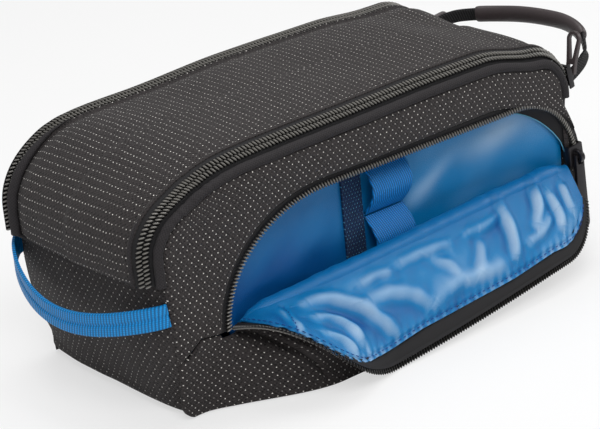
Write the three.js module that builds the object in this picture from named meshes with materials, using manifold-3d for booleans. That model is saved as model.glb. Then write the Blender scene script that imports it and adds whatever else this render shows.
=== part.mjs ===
// Soft toiletry bag with a zipped lid, an open zipped front pocket, a grab strap and a carry handle.
// Millimetres. X runs along the bag towards the carry handle, Y from front to back, Z up.
// The origin is the middle of the base, on the floor.
import * as THREE from 'three';
import { mergeVertices } from 'three/addons/utils/BufferGeometryUtils.js';
import Module from 'manifold-3d';

const wasm = await Module();
wasm.setup();

// Overall sizes of the sewn body
const bagLength = 250;
const bagHeight = 111;
const zipSpacing = 103.4;
const lidCornerRadius = 35;
const lidRiseLength = 10;
const lidSeamHeight = bagHeight - lidCornerRadius - lidRiseLength;
const endCornerRadius = 21;
const baseCornerRadius = 8;
const leftLean = 8;
const rightLean = 3;
const endBulge = 5;
const endBulgeHeight = 50;
const lidEndDrop = 4;

// Cloth, foam and clearances
const panelThickness = 1.8;
const endPanelThickness = 2.2;
const liningThickness = 0.7;
const gap = 0.35;
const faceStandOut = 6.6;
const faceTaper = 3.8;
const faceDepth = zipSpacing / 2 + faceStandOut;
const faceBaseDepth = faceDepth - faceTaper;
const faceTaperHeight = 40;
const panelPuff = 1;
const lidCrown = 2;
const lidBead = 1;
const lidBeadWidth = 2.4;
const endEdgeDrop = 6;
const rightSideMargin = 3.2;

// Coil zips: half of the coil, its tape and the slot between the two halves
const coilWidth = 2.7;
const coilHeight = 2;
const coilRound = 0.45;
const coilSlot = 0.5;
const tapeThickness = 0.7;
const tapeFlat = 4.4;
const tapeDropOut = 0.7;
const tapeDropDown = 2.6;
const lidTapeWidth = 8;
const pocketTapeWidth = 5.2;
const zipLip = 4.7;
const pocketLip = 5.1;

// Piping beside the main zips
const pipingRadius = 2.7;
const pipingOut = 5.8;
const pipingDown = 5.6;

// Sliders and their pullers
const sliderLength = 11;
const sliderHeelWidth = 7.2;
const sliderWidth = 9.2;
const sliderPlate = 1.1;
const sliderFlange = 0.8;
const sliderClear = 0.3;
const mainSliderSag = 1.05;
const pocketSliderSag = 0.35;
const sliderFin = 0.4;
const sliderLowerWidth = 6.6;
const bridgeRadius = 3.3;
const bridgeWidth = 2.4;
const bridgeWall = 1.1;
const pullerBarRadius = 0.8;
const pullerArm = 1.3;
const pullerThickness = 2;
const loopPullerLength = 20;
const loopPullerRing = 4;
const loopPullerHole = 2.5;
const longPullerLength = 37;
const longPullerWidth = 7;
const longPullerWaist = 5.4;
const mainSliderAngle = 12;
const pocketSliderAngle = 5;
const frontPullerAngle = 12;
const rearPullerAngle = 106;
const pocketPullerAngle = 4;

// Front pocket: arched opening, flap and the line that the flap folds on
const archLeftMargin = 37;
const archBaseRise = 34;
const archTopDrop = 29;
const archLeftRun = 60;
const archRightRadius = 35;
const archRightRise = 13;
const archLeft = archLeftMargin - bagLength / 2;
const archBase = archBaseRise;
const archTop = bagHeight - archTopDrop;
const archRightCentre = bagLength / 2 - archRightRadius;
const archRightCentreHeight = archBase + archRightRise;
const archEndAngle = 10;
const panelEndAngle = 25;
const foldRise = 10;
const foldEndMargin = 4.8;
const foldEnd = bagLength / 2 - foldEndMargin;
const foldSetback = 0.9;
const foldDepth = faceDepth - foldSetback;
const foldClear = 2.2;
const flapStart = 1;
const flapClearAngle = 3.8;
const flapThickness = 1.8;
const flapFacingWidth = 9;
const flapRowStartAngle = 24;
const leftSplitAngle = 135;
const rightSplitAngle = 50;
const seamStartDrop = 8;
const seamStartHeight = archBase - seamStartDrop;
const seamKink = 5.5;
const slumpDepth = 24;
const slumpSwell = 2.6;
const pocketDepth = 11;
const pocketFloorDrop = 14;
const pocketFloor = archBase - pocketFloorDrop;
const pocketLiningRise = 7;
const pocketLiningTop = archTop + pocketLiningRise;

// Inside of the pocket: backing strip and two elastic loops
const loopCentre = 15;
const loopWidth = 24;
const loopThickness = 1.2;
const loopReach = 7.5;
const loopTopDrop = 2;
const loopBottomDrop = 4;
const loopSeamShare = 0.49;
const loopTop = archTop - loopTopDrop;
const loopBottom = archBase - loopBottomDrop;
const loopSeam = loopBottom + (loopTop - loopBottom) * loopSeamShare;
const stripLeft = -13;
const stripWidth = 15;

// Mesh pocket on the back wall of the main compartment
const meshMargin = 37;
const meshTopDrop = 39;
const meshHalfLength = bagLength / 2 - meshMargin;
const meshTop = bagHeight - meshTopDrop;
const meshBottom = 12;
const meshStandOff = 9;
const meshThickness = 0.8;
const bindingHeight = 6;
const bindingThickness = 1.6;

// Grab strap on the left end
const strapWidth = 12;
const strapThickness = 1.8;
const strapSag = 13;
const strapSeamDrop = 14;
const strapFrontHeight = lidSeamHeight - strapSeamDrop;
const strapRearRise = 4;
const strapStandOff = 14;

// Carry handle on the right end
const handleMargin = 13.4;
const handleSpan = zipSpacing - handleMargin;
const handleReach = 29;
const handleRise = 22;
const handleDrop = 5;
const handleHeight = bagHeight - endCornerRadius - lidEndDrop - handleDrop;
const handleStrapWidth = 6.4;
const handleStrapThickness = 1.6;
const gripWall = 1.1;
const gripBoreClear = 0.3;
const anchorHeight = 12;
const anchorWidth = 9;
const anchorThickness = 1.6;

const halfLength = bagLength / 2;
const zipY = zipSpacing / 2;
const lidHalfWidth = zipY - zipLip - gap;
const up = new THREE.Vector3(0, 0, 1);
const degrees = THREE.MathUtils.degToRad;
const flapOpenAngle = 180 - flapClearAngle - THREE.MathUtils.radToDeg(Math.atan2(slumpDepth, archBase));
const lerp = THREE.MathUtils.lerp;
const smooth = THREE.MathUtils.smoothstep;

const colours = {
  cloth: { color: 0x2f2c2c, roughness: 0.9, metalness: 0 },
  trim: { color: 0x1d1d1f, roughness: 0.8, metalness: 0 },
  coil: { color: 0x1a1a1c, roughness: 0.45, metalness: 0 },
  lining: { color: 0x1f74be, roughness: 0.5, metalness: 0 },
  webbing: { color: 0x1583cf, roughness: 0.75, metalness: 0 },
  navy: { color: 0x10233f, roughness: 0.85, metalness: 0 },
  rubber: { color: 0x2b2829, roughness: 0.5, metalness: 0 },
  metal: { color: 0x242326, roughness: 0.4, metalness: 0.5 },
};

const bag = new THREE.Group();

function addMesh(parent, name, geometry, colour) {
  const mesh = new THREE.Mesh(geometry, new THREE.MeshStandardMaterial(colours[colour]));
  mesh.name = name;
  parent.add(mesh);
  return mesh;
}

// A closed body from points and faces, turned outwards by the sign of its volume
function closedBody(points, faces) {
  let volume = 0;
  const cross = new THREE.Vector3();
  for (const [a, b, c] of faces) volume += points[a].dot(cross.crossVectors(points[b], points[c]));
  const turned = volume < 0 ? faces.map(([a, b, c]) => [a, c, b]) : faces;
  const geometry = new THREE.BufferGeometry().setFromPoints(points);
  geometry.setIndex(turned.flat());
  geometry.computeVertexNormals();
  return geometry;
}

// Rings of like points skinned one to the next; the ends are capped, or joined when looped
function skinRings(rings, looped = false, capFaces = null) {
  const count = rings[0].length;
  const faces = [];
  const pairs = looped ? rings.length : rings.length - 1;
  for (let i = 0; i < pairs; i += 1) {
    const near = i * count;
    const far = ((i + 1) % rings.length) * count;
    for (let j = 0; j < count; j += 1) {
      const next = (j + 1) % count;
      faces.push([near + j, near + next, far + next], [near + j, far + next, far + j]);
    }
  }
  if (!looped) {
    const last = (rings.length - 1) * count;
    for (const [a, b, c] of capFaces) faces.push([a, c, b], [last + a, last + b, last + c]);
  }
  return closedBody(rings.flat(), faces);
}

// A profile polygon (x out, y up) carried along stations that say where its axes point
function sweep(stations, profileAt) {
  const shapes = stations.map((station) => profileAt(station));
  for (const shape of shapes) if (THREE.ShapeUtils.area(shape) < 0) shape.reverse();
  const caps = THREE.ShapeUtils.triangulateShape(shapes[0], []);
  const rings = stations.map((station, i) => shapes[i].map((p) => station.place.clone()
    .addScaledVector(station.out, p.x).addScaledVector(station.rise, p.y)));
  return skinRings(rings, false, caps);
}

// A sheet between an outer and an inner surface, each a function of two shares
function sheetBody(outer, inner, across, along) {
  const points = [];
  const faces = [];
  for (const surface of [outer, inner]) {
    for (let j = 0; j <= along; j += 1) {
      for (let i = 0; i <= across; i += 1) points.push(surface(i / across, j / along));
    }
  }
  const width = across + 1;
  const layer = width * (along + 1);
  const quad = (a, b, c, d) => faces.push([a, b, c], [a, c, d]);
  for (let j = 0; j < along; j += 1) {
    for (let i = 0; i < across; i += 1) {
      const a = j * width + i;
      quad(a, a + 1, a + width + 1, a + width);
      quad(layer + a + width, layer + a + width + 1, layer + a + 1, layer + a);
    }
  }
  for (let i = 0; i < across; i += 1) {
    const top = along * width + i;
    quad(i + 1, i, layer + i, layer + i + 1);
    quad(top, top + 1, layer + top + 1, layer + top);
  }
  for (let j = 0; j < along; j += 1) {
    const left = j * width;
    const right = left + across;
    quad(left, left + width, layer + left + width, layer + left);
    quad(right + width, right, layer + right, layer + right + width);
  }
  return closedBody(points, faces);
}

// A place at a share of the length of a chain of points
function pointAlong(points, share) {
  const steps = points.slice(1).map((p, i) => p.distanceTo(points[i]));
  let rest = share * steps.reduce((sum, step) => sum + step, 0);
  for (let i = 0; i < steps.length; i += 1) {
    if (rest <= steps[i] || i === steps.length - 1) {
      return points[i].clone().lerp(points[i + 1], Math.min(rest / steps[i], 1));
    }
    rest -= steps[i];
  }
  return points[0].clone();
}

// Four edge curves blended into one patch (a Coons patch)
function patch(bottom, top, left, right) {
  return (u, v) => {
    const b = bottom(u);
    const t = top(u);
    const l = left(v);
    const r = right(v);
    const corners = bottom(0).multiplyScalar((1 - u) * (1 - v)).addScaledVector(bottom(1), u * (1 - v))
      .addScaledVector(top(0), (1 - u) * v).addScaledVector(top(1), u * v);
    return b.multiplyScalar(1 - v).addScaledVector(t, v).addScaledVector(l, 1 - u)
      .addScaledVector(r, u).sub(corners);
  };
}

// Points and outward normals along plane curves that run clockwise, left side first
function stationsOn(curves, counts) {
  const list = [];
  curves.forEach((curve, k) => {
    for (let j = k === 0 ? 0 : 1; j <= counts[k]; j += 1) {
      const share = j / counts[k];
      const tangent = curve.getTangent(share);
      list.push({ point: curve.getPoint(share), normal: new THREE.Vector2(-tangent.y, tangent.x) });
    }
  });
  return list;
}

function offsetPoints(stations, distance) {
  return stations.map((s) => s.point.clone().addScaledVector(s.normal, distance));
}

// The outline of the gusset in the XZ plane, in runs
const flat2 = (x, z) => new THREE.Vector2(x, z);
const lidCornerCentre = flat2(-halfLength + lidCornerRadius, bagHeight - lidCornerRadius);
const endCornerCentre = flat2(halfLength - endCornerRadius, bagHeight - endCornerRadius);
const leftFoot = -halfLength + leftLean;
const rightFoot = halfLength - rightLean;
const bendShare = 0.45;
const bulgePoint = flat2(halfLength + endBulge, endBulgeHeight);

const arc = (centre, radius, from, to) => new THREE.EllipseCurve(
  centre.x, centre.y, radius, radius, degrees(from), degrees(to), true);
const straight = (a, b) => new THREE.LineCurve(a, b);

const leftBaseArc = arc(flat2(leftFoot + baseCornerRadius, baseCornerRadius), baseCornerRadius, 270, 180);
const leftSide = new THREE.QuadraticBezierCurve(
  flat2(leftFoot, baseCornerRadius),
  flat2(-halfLength, lidSeamHeight * bendShare),
  flat2(-halfLength, lidSeamHeight));
const leftRise = straight(flat2(-halfLength, lidSeamHeight), flat2(-halfLength, lidCornerCentre.y));
const lidCornerArc = arc(lidCornerCentre, lidCornerRadius, 180, 90);
const topRun = straight(flat2(lidCornerCentre.x, bagHeight), flat2(endCornerCentre.x, bagHeight));
const endCornerArc = (to) => arc(endCornerCentre, endCornerRadius, 90, to);
const rightDrop = straight(
  flat2(halfLength, endCornerCentre.y), flat2(halfLength, endCornerCentre.y - lidEndDrop));
const rightUpper = new THREE.QuadraticBezierCurve(
  flat2(halfLength, endCornerCentre.y - lidEndDrop),
  flat2(bulgePoint.x, lerp(endCornerCentre.y, bulgePoint.y, bendShare)),
  bulgePoint);
const rightLower = new THREE.QuadraticBezierCurve(
  bulgePoint,
  flat2(bulgePoint.x, bulgePoint.y * bendShare),
  flat2(rightFoot, baseCornerRadius));
const rightBaseArc = arc(
  flat2(rightFoot - baseCornerRadius, baseCornerRadius), baseCornerRadius, 0, -90);

// Stations for pieces that lie on the gusset: out is across the bag, rise is away from it
function rimStations(curves, counts, y, outSign) {
  return stationsOn(curves, counts).map(({ point, normal }) => ({
    place: new THREE.Vector3(point.x, y, point.y),
    out: new THREE.Vector3(0, outSign, 0),
    rise: new THREE.Vector3(normal.x, 0, normal.y),
  }));
}

// Front and back faces lean in a little towards the floor
const faceY = (z) => lerp(faceBaseDepth, faceDepth, smooth(z, 0, faceTaperHeight));
const sideHalfWidth = (z, margin) => faceY(Math.max(z, 0)) - panelThickness - gap - margin;

// A slab as wide as its span, crowned or drooping by the lift function
function slabProfile(halfWidth, lift, thickness, count) {
  const upper = [];
  const lower = [];
  for (let i = 0; i <= count; i += 1) {
    const share = (2 * i) / count - 1;
    upper.push(flat2(share * halfWidth, lift(share) + thickness));
    lower.unshift(flat2(share * halfWidth, lift(share)));
  }
  return upper.concat(lower);
}

// Half of a coil zip: the coil on the edge of its tape; the tape runs flat, then may drop away
function zipHalfProfile(flatWidth, dropOut, dropDown) {
  const inner = coilSlot;
  const outer = coilSlot + coilWidth;
  const profile = [
    flat2(inner, -tapeThickness), flat2(inner, coilHeight - coilRound),
    flat2(inner + coilRound, coilHeight), flat2(outer - coilRound, coilHeight),
    flat2(outer, coilHeight - coilRound), flat2(outer, 0), flat2(flatWidth, 0),
  ];
  if (dropDown > 0) {
    profile.push(flat2(flatWidth + dropOut, -dropDown));
    profile.push(flat2(flatWidth + dropOut - tapeThickness, -dropDown));
  }
  profile.push(flat2(flatWidth - (dropDown > 0 ? tapeThickness : 0), -tapeThickness));
  return profile;
}

const sideCounts = { base: 2, side: 4, corner: 8, endCorner: 6 };

// Main zips, one pair along each edge of the lid
function addMainZip(root, lid, name, outSign) {
  const y = outSign * zipY;
  const bodyRun = [leftRise, lidCornerArc, topRun, endCornerArc(0), rightDrop];
  const bodyCounts = [1, sideCounts.corner, 2, sideCounts.endCorner, 1];
  const lidEnd = mainSliderAngle + THREE.MathUtils.radToDeg(sliderLength / 2 / endCornerRadius) + 2;
  const lidRun = [leftRise, lidCornerArc, topRun, endCornerArc(lidEnd)];
  const bodySide = zipHalfProfile(tapeFlat, tapeDropOut, tapeDropDown);
  const lidSide = zipHalfProfile(lidTapeWidth, 0, 0);
  addMesh(root, `${name}_zip_body_side`,
    sweep(rimStations(bodyRun, bodyCounts, y, outSign), () => bodySide), 'coil');
  addMesh(lid, `${name}_zip_lid_side`,
    sweep(rimStations(lidRun, [1, sideCounts.corner, 2, sideCounts.endCorner - 2], y, -outSign),
      () => lidSide), 'coil');
}

function addPiping(root, name, outSign) {
  const sides = 8;
  const circle = [];
  for (let i = 0; i < sides; i += 1) {
    const angle = (2 * Math.PI * i) / sides;
    circle.push(flat2(
      pipingOut + pipingRadius * Math.cos(angle), -pipingDown + pipingRadius * Math.sin(angle)));
  }
  const run = [leftRise, lidCornerArc, topRun, endCornerArc(0), rightDrop];
  addMesh(root, `${name}_piping`,
    sweep(rimStations(run, [1, sideCounts.corner, 2, sideCounts.endCorner, 1], outSign * zipY, outSign),
      () => circle), 'trim');
}

// The lid is one long strip: down the left end, over the top and over the right corner
function addLid(lid) {
  const run = [leftRise, lidCornerArc, topRun, endCornerArc(0), rightDrop];
  const counts = [1, sideCounts.corner, 4, sideCounts.endCorner, 1];
  const crown = (share) => lidCrown * (1 - share * share);
  const panel = slabProfile(lidHalfWidth, crown, panelThickness, 8)
    .map((p) => flat2(p.x, p.y + gap));
  // A raised bead runs along each edge of the lid
  const half = lidBeadWidth / 2;
  const beadPoints = [half, lidBeadWidth].map((inward) => flat2(lidHalfWidth - inward,
    gap + panelThickness + crown(1 - inward / lidHalfWidth) + (inward === half ? lidBead : 0)));
  panel.splice(8, 0, ...beadPoints.map((p) => p.clone()).reverse());
  panel.splice(1, 0, ...beadPoints.map((p) => flat2(-p.x, p.y)));
  const stations = rimStations(run, counts, 0, 1);
  stations[0].place.z += gap;
  addMesh(lid, 'lid_panel', sweep(stations, () => panel), 'cloth');
  const lining = slabProfile(lidHalfWidth, crown, liningThickness, 6)
    .map((p) => flat2(p.x, p.y - tapeThickness - gap - liningThickness - lidCrown));
  addMesh(lid, 'lid_lining', sweep(stations, () => lining), 'lining');
}

// End panels fill the gusset below the lid, their edges drooping into the side seams
function addEndPanels(root) {
  const droop = (share) => -endEdgeDrop * share ** 4;
  const shapeAt = (thickness, inset, narrow) => (station) => slabProfile(
    sideHalfWidth(station.place.z, station.place.x > 0 ? rightSideMargin : 0) - narrow,
    (share) => droop(share) - inset, thickness, 10);
  const liningInset = endPanelThickness + gap + liningThickness;
  const liningNarrow = liningThickness + 2 * gap;
  const leftRun = rimStations([leftBaseArc, leftSide], [sideCounts.base, sideCounts.side], 0, 1);
  leftRun[leftRun.length - 1].place.z -= gap;
  const rightRun = rimStations([rightUpper, rightLower, rightBaseArc],
    [sideCounts.side, sideCounts.side, sideCounts.base], 0, 1);
  rightRun[0].place.z -= gap;
  addMesh(root, 'left_end_panel', sweep(leftRun, shapeAt(endPanelThickness, endPanelThickness, 0)), 'cloth');
  addMesh(root, 'right_end_panel', sweep(rightRun, shapeAt(endPanelThickness, endPanelThickness, 0)), 'cloth');
  const leftInner = leftRun.slice(sideCounts.base + 1);
  const rightInner = rightRun.slice(0, rightRun.length - sideCounts.base - 1);
  addMesh(root, 'left_lining', sweep(leftInner, shapeAt(liningThickness, liningInset, liningNarrow)), 'lining');
  addMesh(root, 'right_lining', sweep(rightInner, shapeAt(liningThickness, liningInset, liningNarrow)), 'lining');
}

// How far the slumped lower front stands out at a place along the bag, from 0 to 1
const slumpStartShare = -0.9;
const slumpFullShare = -0.36;
const slumpFadeShare = 0.66;
const slumpAt = (x) => smooth(x, slumpStartShare * halfLength, slumpFullShare * halfLength)
  * (1 - smooth(x, slumpFadeShare * halfLength, halfLength));

// The line that the flap folds on
const foldLength = foldEnd - archLeft;
const foldZ = (x) => archBase + (foldRise * (x - archLeft)) / foldLength;

// The pocket's arch, from its low left end to its right end
const archLeftArc = new THREE.EllipseCurve(
  archLeft + archLeftRun, archBase, archLeftRun, archTop - archBase, Math.PI, Math.PI / 2, true);
const archRun = straight(flat2(archLeft + archLeftRun, archTop), flat2(archRightCentre, archTop));
const archRightArc = (to) => new THREE.EllipseCurve(
  archRightCentre, archRightCentreHeight, archRightRadius, archTop - archRightCentreHeight,
  Math.PI / 2, degrees(to), true);

// The edge of the front and back faces: the rim drawn in, less so down the right side
const faceInset = pipingDown + pipingRadius + 2 * gap;
const endSideInset = 1.2;
function faceEdge(rightEndHeight) {
  const startShare = (seamStartHeight - baseCornerRadius) / (lidSeamHeight - baseCornerRadius);
  const side = stationsOn([leftSide], [2 * sideCounts.side])
    .filter((s) => s.point.y >= lerp(baseCornerRadius, lidSeamHeight, startShare) - gap);
  const over = stationsOn([leftRise, lidCornerArc, topRun, endCornerArc(0), rightDrop, rightUpper],
    [1, sideCounts.corner, 6, sideCounts.endCorner, 1, sideCounts.side]);
  const inset = (s) => {
    const below = endCornerCentre.y - lidEndDrop - gap - s.point.y;
    const right = s.point.x > 0 ? smooth(below, 0, endCornerCentre.y - lidEndDrop - endBulgeHeight) : 0;
    return lerp(faceInset, endSideInset, right);
  };
  return side.concat(over.slice(1)).map((s) => s.point.clone().addScaledVector(s.normal, -inset(s)))
    .filter((p) => p.x < 0 || p.y > rightEndHeight);
}

// The outline of the seam between upper and lower front, left of the pocket
const kinkAt = (share) => seamKink * (1 - Math.abs(2 * share - 1));
const kinkFadeShare = 0.12;

function addFrontPanel(root) {
  const panelEnd = archRightCentreHeight + archRightRadius * Math.sin(degrees(panelEndAngle));
  const outerEdge = faceEdge(panelEnd);
  const innerEdge = offsetPoints(
    stationsOn([archLeftArc, archRun, archRightArc(panelEndAngle)], [12, 6, 8]), pocketLip);
  const place = (u, v, depth) => {
    const p = pointAlong(outerEdge, u).lerp(pointAlong(innerEdge, u), v);
    const lift = kinkAt(v) * (1 - smooth(u, 0, kinkFadeShare));
    const puff = panelPuff * Math.sin(Math.PI * v) * Math.sin(Math.PI * u);
    return new THREE.Vector3(p.x, -faceY(p.y) - puff + depth, p.y + lift);
  };
  addMesh(root, 'front_panel', sheetBody(
    (u, v) => place(u, v, 0), (u, v) => place(u, v, panelThickness), 44, 3), 'cloth');
}

// Outer surface of the lower front: upright at the fold, slumped out at the floor
function lowerFrontY(x, z, topHeight) {
  const share = THREE.MathUtils.clamp(z / topHeight, 0, 1);
  const slump = slumpAt(x);
  const topDepth = lerp(faceY(topHeight), foldDepth - gap / 2, smooth(x, archLeft - gap, archLeft + slumpSwell));
  const swell = 4 * slumpSwell * slump * share * (1 - share);
  return -(lerp(faceBaseDepth + slumpDepth * slump, topDepth, share) + swell);
}

function lowerFrontTop(share) {
  const left = faceEdge(endBulgeHeight)[0];
  const corner = flat2(archLeft - pocketLip, archBase);
  const cornerShare = (corner.x - left.x) / (bulgePoint.x - endSideInset - left.x);
  if (share < cornerShare) {
    const part = share / cornerShare;
    return left.clone().lerp(corner, part).add(flat2(0, kinkAt(part) - 2 * gap));
  }
  const x = lerp(corner.x, bulgePoint.x - endSideInset, (share - cornerShare) / (1 - cornerShare));
  return flat2(x, foldZ(Math.min(Math.max(x, archLeft), foldEnd)) - foldClear);
}

// Height of the seam or fold that ends the lower front, at a place along the bag
function frontSeamZ(x) {
  const left = faceEdge(endBulgeHeight)[0];
  const cornerX = archLeft - pocketLip;
  if (x < cornerX) return lerp(left.y, archBase, smooth(x, left.x, cornerX));
  return foldZ(Math.min(Math.max(x, archLeft), foldEnd)) - foldClear;
}

function addLowerFront(root) {
  const floorGap = gap;
  const left = -halfLength + leftLean + 2 * gap;
  const right = rightFoot - 2 * gap;
  const place = (u, v, depth) => {
    const top = lowerFrontTop(u);
    const bottom = flat2(lerp(left, right, u), floorGap);
    const p = bottom.clone().lerp(top, v);
    const bow = Math.sin(Math.PI * v) * (u < 0.5 ? -1 : 1) * Math.abs(2 * u - 1) ** 6;
    return new THREE.Vector3(p.x + bow * gap, lowerFrontY(p.x, p.y, top.y) + depth, p.y);
  };
  addMesh(root, 'lower_front_panel', sheetBody(
    (u, v) => place(u, v, 0), (u, v) => place(u, v, panelThickness), 36, 5), 'cloth');
}

function addBottom(root) {
  const left = leftFoot + baseCornerRadius + gap;
  const right = rightFoot - baseCornerRadius - gap;
  const place = (u, v, z) => {
    const x = lerp(left, right, u);
    const front = lowerFrontY(x, endPanelThickness, frontSeamZ(x)) + panelThickness + 2 * gap;
    const back = faceBaseDepth - panelThickness - gap;
    return new THREE.Vector3(x, lerp(front, back, v), z);
  };
  addMesh(root, 'bottom_panel', sheetBody(
    (u, v) => place(u, v, 0), (u, v) => place(u, v, endPanelThickness), 30, 1), 'cloth');
  const floorLevel = endPanelThickness + gap;
  addMesh(root, 'floor_lining', sheetBody(
    (u, v) => new THREE.Vector3(lerp(left, right, u), lerp(-dividerDepth + liningThickness + gap,
      faceBaseDepth - panelThickness - liningThickness - 3 * gap, v), floorLevel),
    (u, v) => new THREE.Vector3(lerp(left, right, u), lerp(-dividerDepth + liningThickness + gap,
      faceBaseDepth - panelThickness - liningThickness - 3 * gap, v), floorLevel + liningThickness),
    2, 2), 'lining');
}

// Whole faces: a patch inside the rim, from the floor to the piping
function facePatch(inset, floorHeight) {
  const rim = (curves, counts, distance) => offsetPoints(stationsOn(curves, counts), -distance);
  const leftEdge = rim([leftSide, leftRise, arc(lidCornerCentre, lidCornerRadius, 180, leftSplitAngle)],
    [4, 1, 5], inset);
  const topEdge = rim([arc(lidCornerCentre, lidCornerRadius, leftSplitAngle, 90), topRun,
    arc(endCornerCentre, endCornerRadius, 90, 90 - leftSplitAngle / 3)], [5, 6, 4], inset);
  const rightEdge = rim([arc(endCornerCentre, endCornerRadius, 90 - leftSplitAngle / 3, 0), rightDrop,
    rightUpper, rightLower], [4, 1, 3, 4], inset).reverse();
  leftEdge[0].y = floorHeight;
  rightEdge[0].y = floorHeight;
  return patch(
    (u) => leftEdge[0].clone().lerp(rightEdge[0], u),
    (u) => pointAlong(topEdge, u),
    (v) => pointAlong(leftEdge, v),
    (v) => pointAlong(rightEdge, v));
}

const pocketWall = faceDepth - panelThickness - 3 * gap - tapeThickness - pocketSliderSag - sliderPlate;
const pocketBack = pocketWall - pocketDepth;
const dividerDepth = pocketBack - liningThickness - 3 * gap;
const pipingInnerY = zipY + pipingOut - pipingRadius - gap;
const liningTop = bagHeight - pipingDown;
const liningWall = (z) => lerp(faceY(z) - panelThickness - gap, pipingInnerY,
  smooth(z, lidSeamHeight, liningTop - 2 * pipingRadius));

function addBackAndLinings(root) {
  const back = facePatch(faceInset, gap);
  const puff = (u, v) => panelPuff * Math.sin(Math.PI * u) * Math.sin(Math.PI * v);
  const backPlace = (u, v, depth) => {
    const p = back(u, v);
    return new THREE.Vector3(p.x, faceY(p.y) + puff(u, v) - depth, p.y);
  };
  addMesh(root, 'back_panel', sheetBody(
    (u, v) => backPlace(u, v, 0), (u, v) => backPlace(u, v, panelThickness), 14, 14), 'cloth');
  const floorLevel = endPanelThickness + liningThickness + 2 * gap;
  const inner = facePatch(faceInset - pipingRadius, floorLevel);
  const narrowInside = (p, margin) => {
    const middle = (leftFoot + rightFoot) / 2;
    return middle + (p.x - middle) * (1 - margin / halfLength);
  };
  const margin = endEdgeDrop + endPanelThickness + liningThickness;
  const liningPlace = (depth) => (u, v) => {
    const p = inner(u, v);
    return new THREE.Vector3(narrowInside(p, margin), liningWall(p.y) - depth, p.y);
  };
  addMesh(root, 'back_lining', sheetBody(
    liningPlace(0), liningPlace(liningThickness), 8, 8), 'lining');
  // The front lining hangs behind the pocket and runs forward to the zip above it
  const dividerY = (z) => -lerp(dividerDepth, pipingInnerY, smooth(z, pocketLiningTop, liningTop));
  const frontPlace = (depth) => (u, v) => {
    const p = inner(u, v);
    return new THREE.Vector3(narrowInside(p, margin), dividerY(p.y) + depth, p.y);
  };
  addMesh(root, 'front_lining', sheetBody(
    frontPlace(0), frontPlace(liningThickness), 8, 10), 'lining');
}

// Pocket lining: back wall, floor and a short front wall behind the lower front panel
function addPocketLining(root) {
  const left = archLeft + 2 * zipLip;
  const right = foldEnd - 2 * panelThickness;
  const wall = pocketWall;
  const stepsDown = 20;
  const section = (u, offset) => {
    const x = lerp(left, right, u);
    const depth = Math.max(1 - Math.abs(2 * u - 1) ** 4, 1 / pocketDepth) * pocketDepth;
    const top = foldZ(x);
    const back = -wall + depth;
    const frontAt = (z) => lowerFrontY(x, z, top - foldClear) + panelThickness + liningThickness + 4 * gap;
    const floor = pocketFloor;
    const frontTop = top - foldClear - gap;
    const line = [
      [-wall, pocketLiningTop], [lerp(-wall, back, 0.7), lerp(pocketLiningTop, archTop, 0.4)],
      [back, lerp(archTop, floor, 0.02)], [back, lerp(archTop, floor, 0.3)],
      [back, lerp(archTop, floor, 0.6)], [back, lerp(archTop, floor, 0.9)],
      [lerp(back, frontAt(floor), 0.3), floor],
      [lerp(back, frontAt(floor), 0.75), floor],
      [frontAt(lerp(floor, frontTop, 0.3)), lerp(floor, frontTop, 0.3)],
      [frontAt(lerp(floor, frontTop, 0.65)), lerp(floor, frontTop, 0.65)],
      [frontAt(frontTop), frontTop],
    ].map(([y, z]) => new THREE.Vector3(x, y, z));
    const curve = new THREE.CatmullRomCurve3(line, false, 'centripetal');
    return (v) => {
      const p = curve.getPoint(v);
      const tangent = curve.getTangent(v);
      const normal = new THREE.Vector3(0, -tangent.z, tangent.y).normalize();
      return p.addScaledVector(normal, offset);
    };
  };
  addMesh(root, 'pocket_lining', sheetBody(
    (u, v) => section(u, 0)(v), (u, v) => section(u, liningThickness)(v), 12, stepsDown), 'lining');
}

// Stations along the pocket's arch: out is away from the opening, rise is towards the front
const pocketZipY = faceDepth - panelThickness - gap;
function archStations(curves, counts, outSign) {
  return stationsOn(curves, counts).map(({ point, normal }) => ({
    place: new THREE.Vector3(point.x, -pocketZipY, point.y),
    out: new THREE.Vector3(normal.x * outSign, 0, normal.y * outSign),
    rise: new THREE.Vector3(0, -1, 0),
  }));
}

function addPocketZip(root, flap) {
  const profile = zipHalfProfile(pocketTapeWidth, 0, 0);
  addMesh(root, 'pocket_zip_body_side', sweep(
    archStations([archLeftArc, archRun, archRightArc(archEndAngle)], [12, 2, 8], 1),
    () => profile), 'coil');
  const flapStations = archStations([archLeftArc, archRun, archRightArc(flapRowStartAngle)], [12, 2, 8], -1);
  flapStations[0].place.z += foldClear;
  flapStations[0].out.set(1, 0, 0);
  addMesh(flap, 'pocket_zip_flap_side', sweep(flapStations, () => profile), 'coil');
}

// The flap, drawn shut and then laid open by its group
function flapOutline(inset, startGap) {
  const edge = (curves, counts) => offsetPoints(stationsOn(curves, counts), -inset);
  const leftArc = (from, to) => new THREE.EllipseCurve(archLeft + archLeftRun, archBase,
    archLeftRun, archTop - archBase, degrees(from), degrees(to), true);
  const rightArc = (from, to) => new THREE.EllipseCurve(archRightCentre, archRightCentreHeight,
    archRightRadius, archTop - archRightCentreHeight, degrees(from), degrees(to), true);
  const foldStart = archLeft + inset;
  const foldStop = foldEnd - inset + zipLip;
  const left = edge([leftArc(180, leftSplitAngle)], [5]);
  left[0].set(foldStart, foldZ(foldStart) + startGap);
  const top = edge([leftArc(leftSplitAngle, 90), archRun, rightArc(90, rightSplitAngle)], [5, 8, 4]);
  const right = edge([rightArc(rightSplitAngle, flapRowStartAngle)], [4]);
  right.push(flat2(foldStop, right[right.length - 1].y), flat2(foldStop, foldZ(foldStop) + startGap));
  right.reverse();
  return patch(
    (u) => left[0].clone().lerp(right[0], u),
    (u) => pointAlong(top, u),
    (v) => pointAlong(left, v),
    (v) => pointAlong(right, v));
}

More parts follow.
